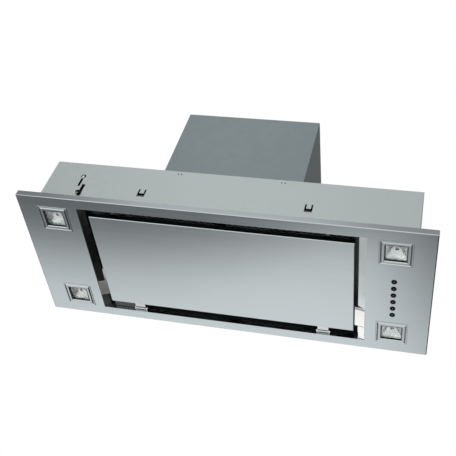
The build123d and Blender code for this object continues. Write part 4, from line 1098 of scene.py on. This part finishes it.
def sight(tree):
    """1 for a ray that the camera sees straight or through glass, 0 for a reflection."""
    straight, through = (add_node(tree, "ShaderNodeLightPath", output=f"Is {kind} Ray")
                         for kind in ("Camera", "Transmission"))
    return straight.larger(through)


# brightness of each field
WALL = 1.22         # the pale wall behind and below
WALL_FOOT = 0.15    # shares of it that are left: over the dark floor,
WALL_BAND = 0.44    # in the dim band,
WALL_END = 0.12     # and beyond its left edge
ABOVE_BAND = 0.72   # what the wall gains again above the band
DEEP_FLOOR = 1.05
FAR_RIGHT = 0.05
FRONT_FLOOR, FRONT_FLOOR_FAR = 1.05, 1.4
FRONT_FLOOR_END = 0.35
REAR_ROOM, REAR_LEFT = 0.22, 0.58
FRONT_LEFT, FRONT_MIDDLE, FRONT_RIGHT = 0.36, 0.85, 0.48

# behind and below
wall_foot = (up + right * 0.33).ramp(-0.780, -0.715, WALL_FOOT, 1.0)
wall_right_edge = (right - up).ramp(0.55, 0.83, 1.0, 0.0)
wall_band = up.ramp(-0.54, -0.50, 1.0, WALL_BAND) + up.ramp(-0.450, -0.415, 0.0, ABOVE_BAND)
wall_left_edge = right.ramp(-0.61, -0.555, WALL_END, 1.0)
rear_below = wall_foot * wall_right_edge * wall_band * wall_left_edge * WALL
rear_below += up.ramp(-0.76, -0.84, 0.0, DEEP_FLOOR) + right.ramp(0.20, 0.42, 0.0, FAR_RIGHT)
# in front and below
front_below = rear.ramp(-0.15, -0.45, FRONT_FLOOR, FRONT_FLOOR_FAR)
front_below *= rear.ramp(-0.58, -0.75, 1.0, FRONT_FLOOR_END)
# behind and above
rear_left = right.ramp(-0.35, 0.15, REAR_LEFT, 0.0) * right.ramp(-0.60, -0.50)
rear_above = REAR_ROOM + rear_left * up.ramp(0.10, 0.30, 1.0, 0.0)
# in front and above
front_above = right.ramp(-0.46, -0.31, FRONT_LEFT, FRONT_MIDDLE)
front_above -= right.ramp(-0.16, -0.02, 0.0, FRONT_MIDDLE - FRONT_RIGHT)

rearwards = rear.ramp(0.0, 0.4)
below = up.ramp(0.05, -0.30)
down_part = rearwards * rear_below + (1 - rearwards) * front_below
up_part = rearwards * rear_above + (1 - rearwards) * front_above
studio = below * down_part + (1 - below) * up_part
seen = sight(tree)
strength = seen + (1 - seen) * studio
tree.links.new(strength.socket, background.inputs["Strength"])
background.inputs["Color"].default_value = (1.0, 1.0, 1.0, 1.0)

# %% [markdown]
# The floor lies so far below the hood that a camera can look up at the hood from there. To the
# camera it glows nearly white; to the lights it is pale and dull, and mirrors don't show it.

# %% Floor
FLOOR_DROP = 2.4
FLOOR_HALF = 9.0
FLOOR_GLOW = 0.85  # share of the glow in what the camera sees
bm = bmesh.new()
bmesh.ops.create_grid(bm, x_segments=1, y_segments=1, size=FLOOR_HALF)
mesh = bpy.data.meshes.new("floor")
bm.to_mesh(mesh)
bm.free()
floor = bpy.data.objects.new("floor", mesh)
floor.location.z = -FLOOR_DROP
bpy.context.scene.collection.objects.link(floor)
floor_paint = Finish("floor_paint", (0.85, 0.85, 0.85), 0.9)
glow = floor_paint.add("ShaderNodeEmission", None, {"Color": (1, 1, 1, 1), "Strength": 1.0})
painted = Wire(floor_paint.tree, floor_paint.shader.outputs[0])
mixer = floor_paint.add("ShaderNodeMixShader", None,
                        {0: sight(floor_paint.tree) * FLOOR_GLOW, 1: painted, 2: glow})
floor_paint.tree.links.new(mixer.socket, floor_paint.tree.nodes["Material Output"].inputs[0])
mesh.materials.append(floor_paint.material)
floor.visible_glossy = False

# %% [markdown]
# Three large soft lights aim at the hood's middle: one in front and below for the plate, one at the
# left, and one behind and above for the lid and the collar.

# %% Lights
# name: (place, width, height, watts)
LAMPS = {
    "soft_front": ((-0.6, -2.6, -1.2), 2.0, 1.6, 7.0),
    "soft_left": ((-2.6, 0.4, 1.0), 1.6, 1.6, 15.0),
    "soft_top": ((-1.9, 1.8, 2.4), 2.0, 2.0, 20.0),
}


def soft_light(name, place, width, height, watts):
    """A rectangular light that aims at the middle of the cut-out."""
    data = bpy.data.lights.new(name, "AREA")
    data.shape = "RECTANGLE"
    data.size = width
    data.size_y = height
    data.energy = watts
    light = bpy.data.objects.new(name, data)
    bpy.context.scene.collection.objects.link(light)
    aim = (-Vector(place)).to_track_quat("-Z", "Y").to_matrix().to_4x4()
    light.matrix_world = Matrix.Translation(place) @ aim
    light.visible_camera = False


for name, (place, width, height, watts) in LAMPS.items():
    soft_light(name, place, width, height, watts)
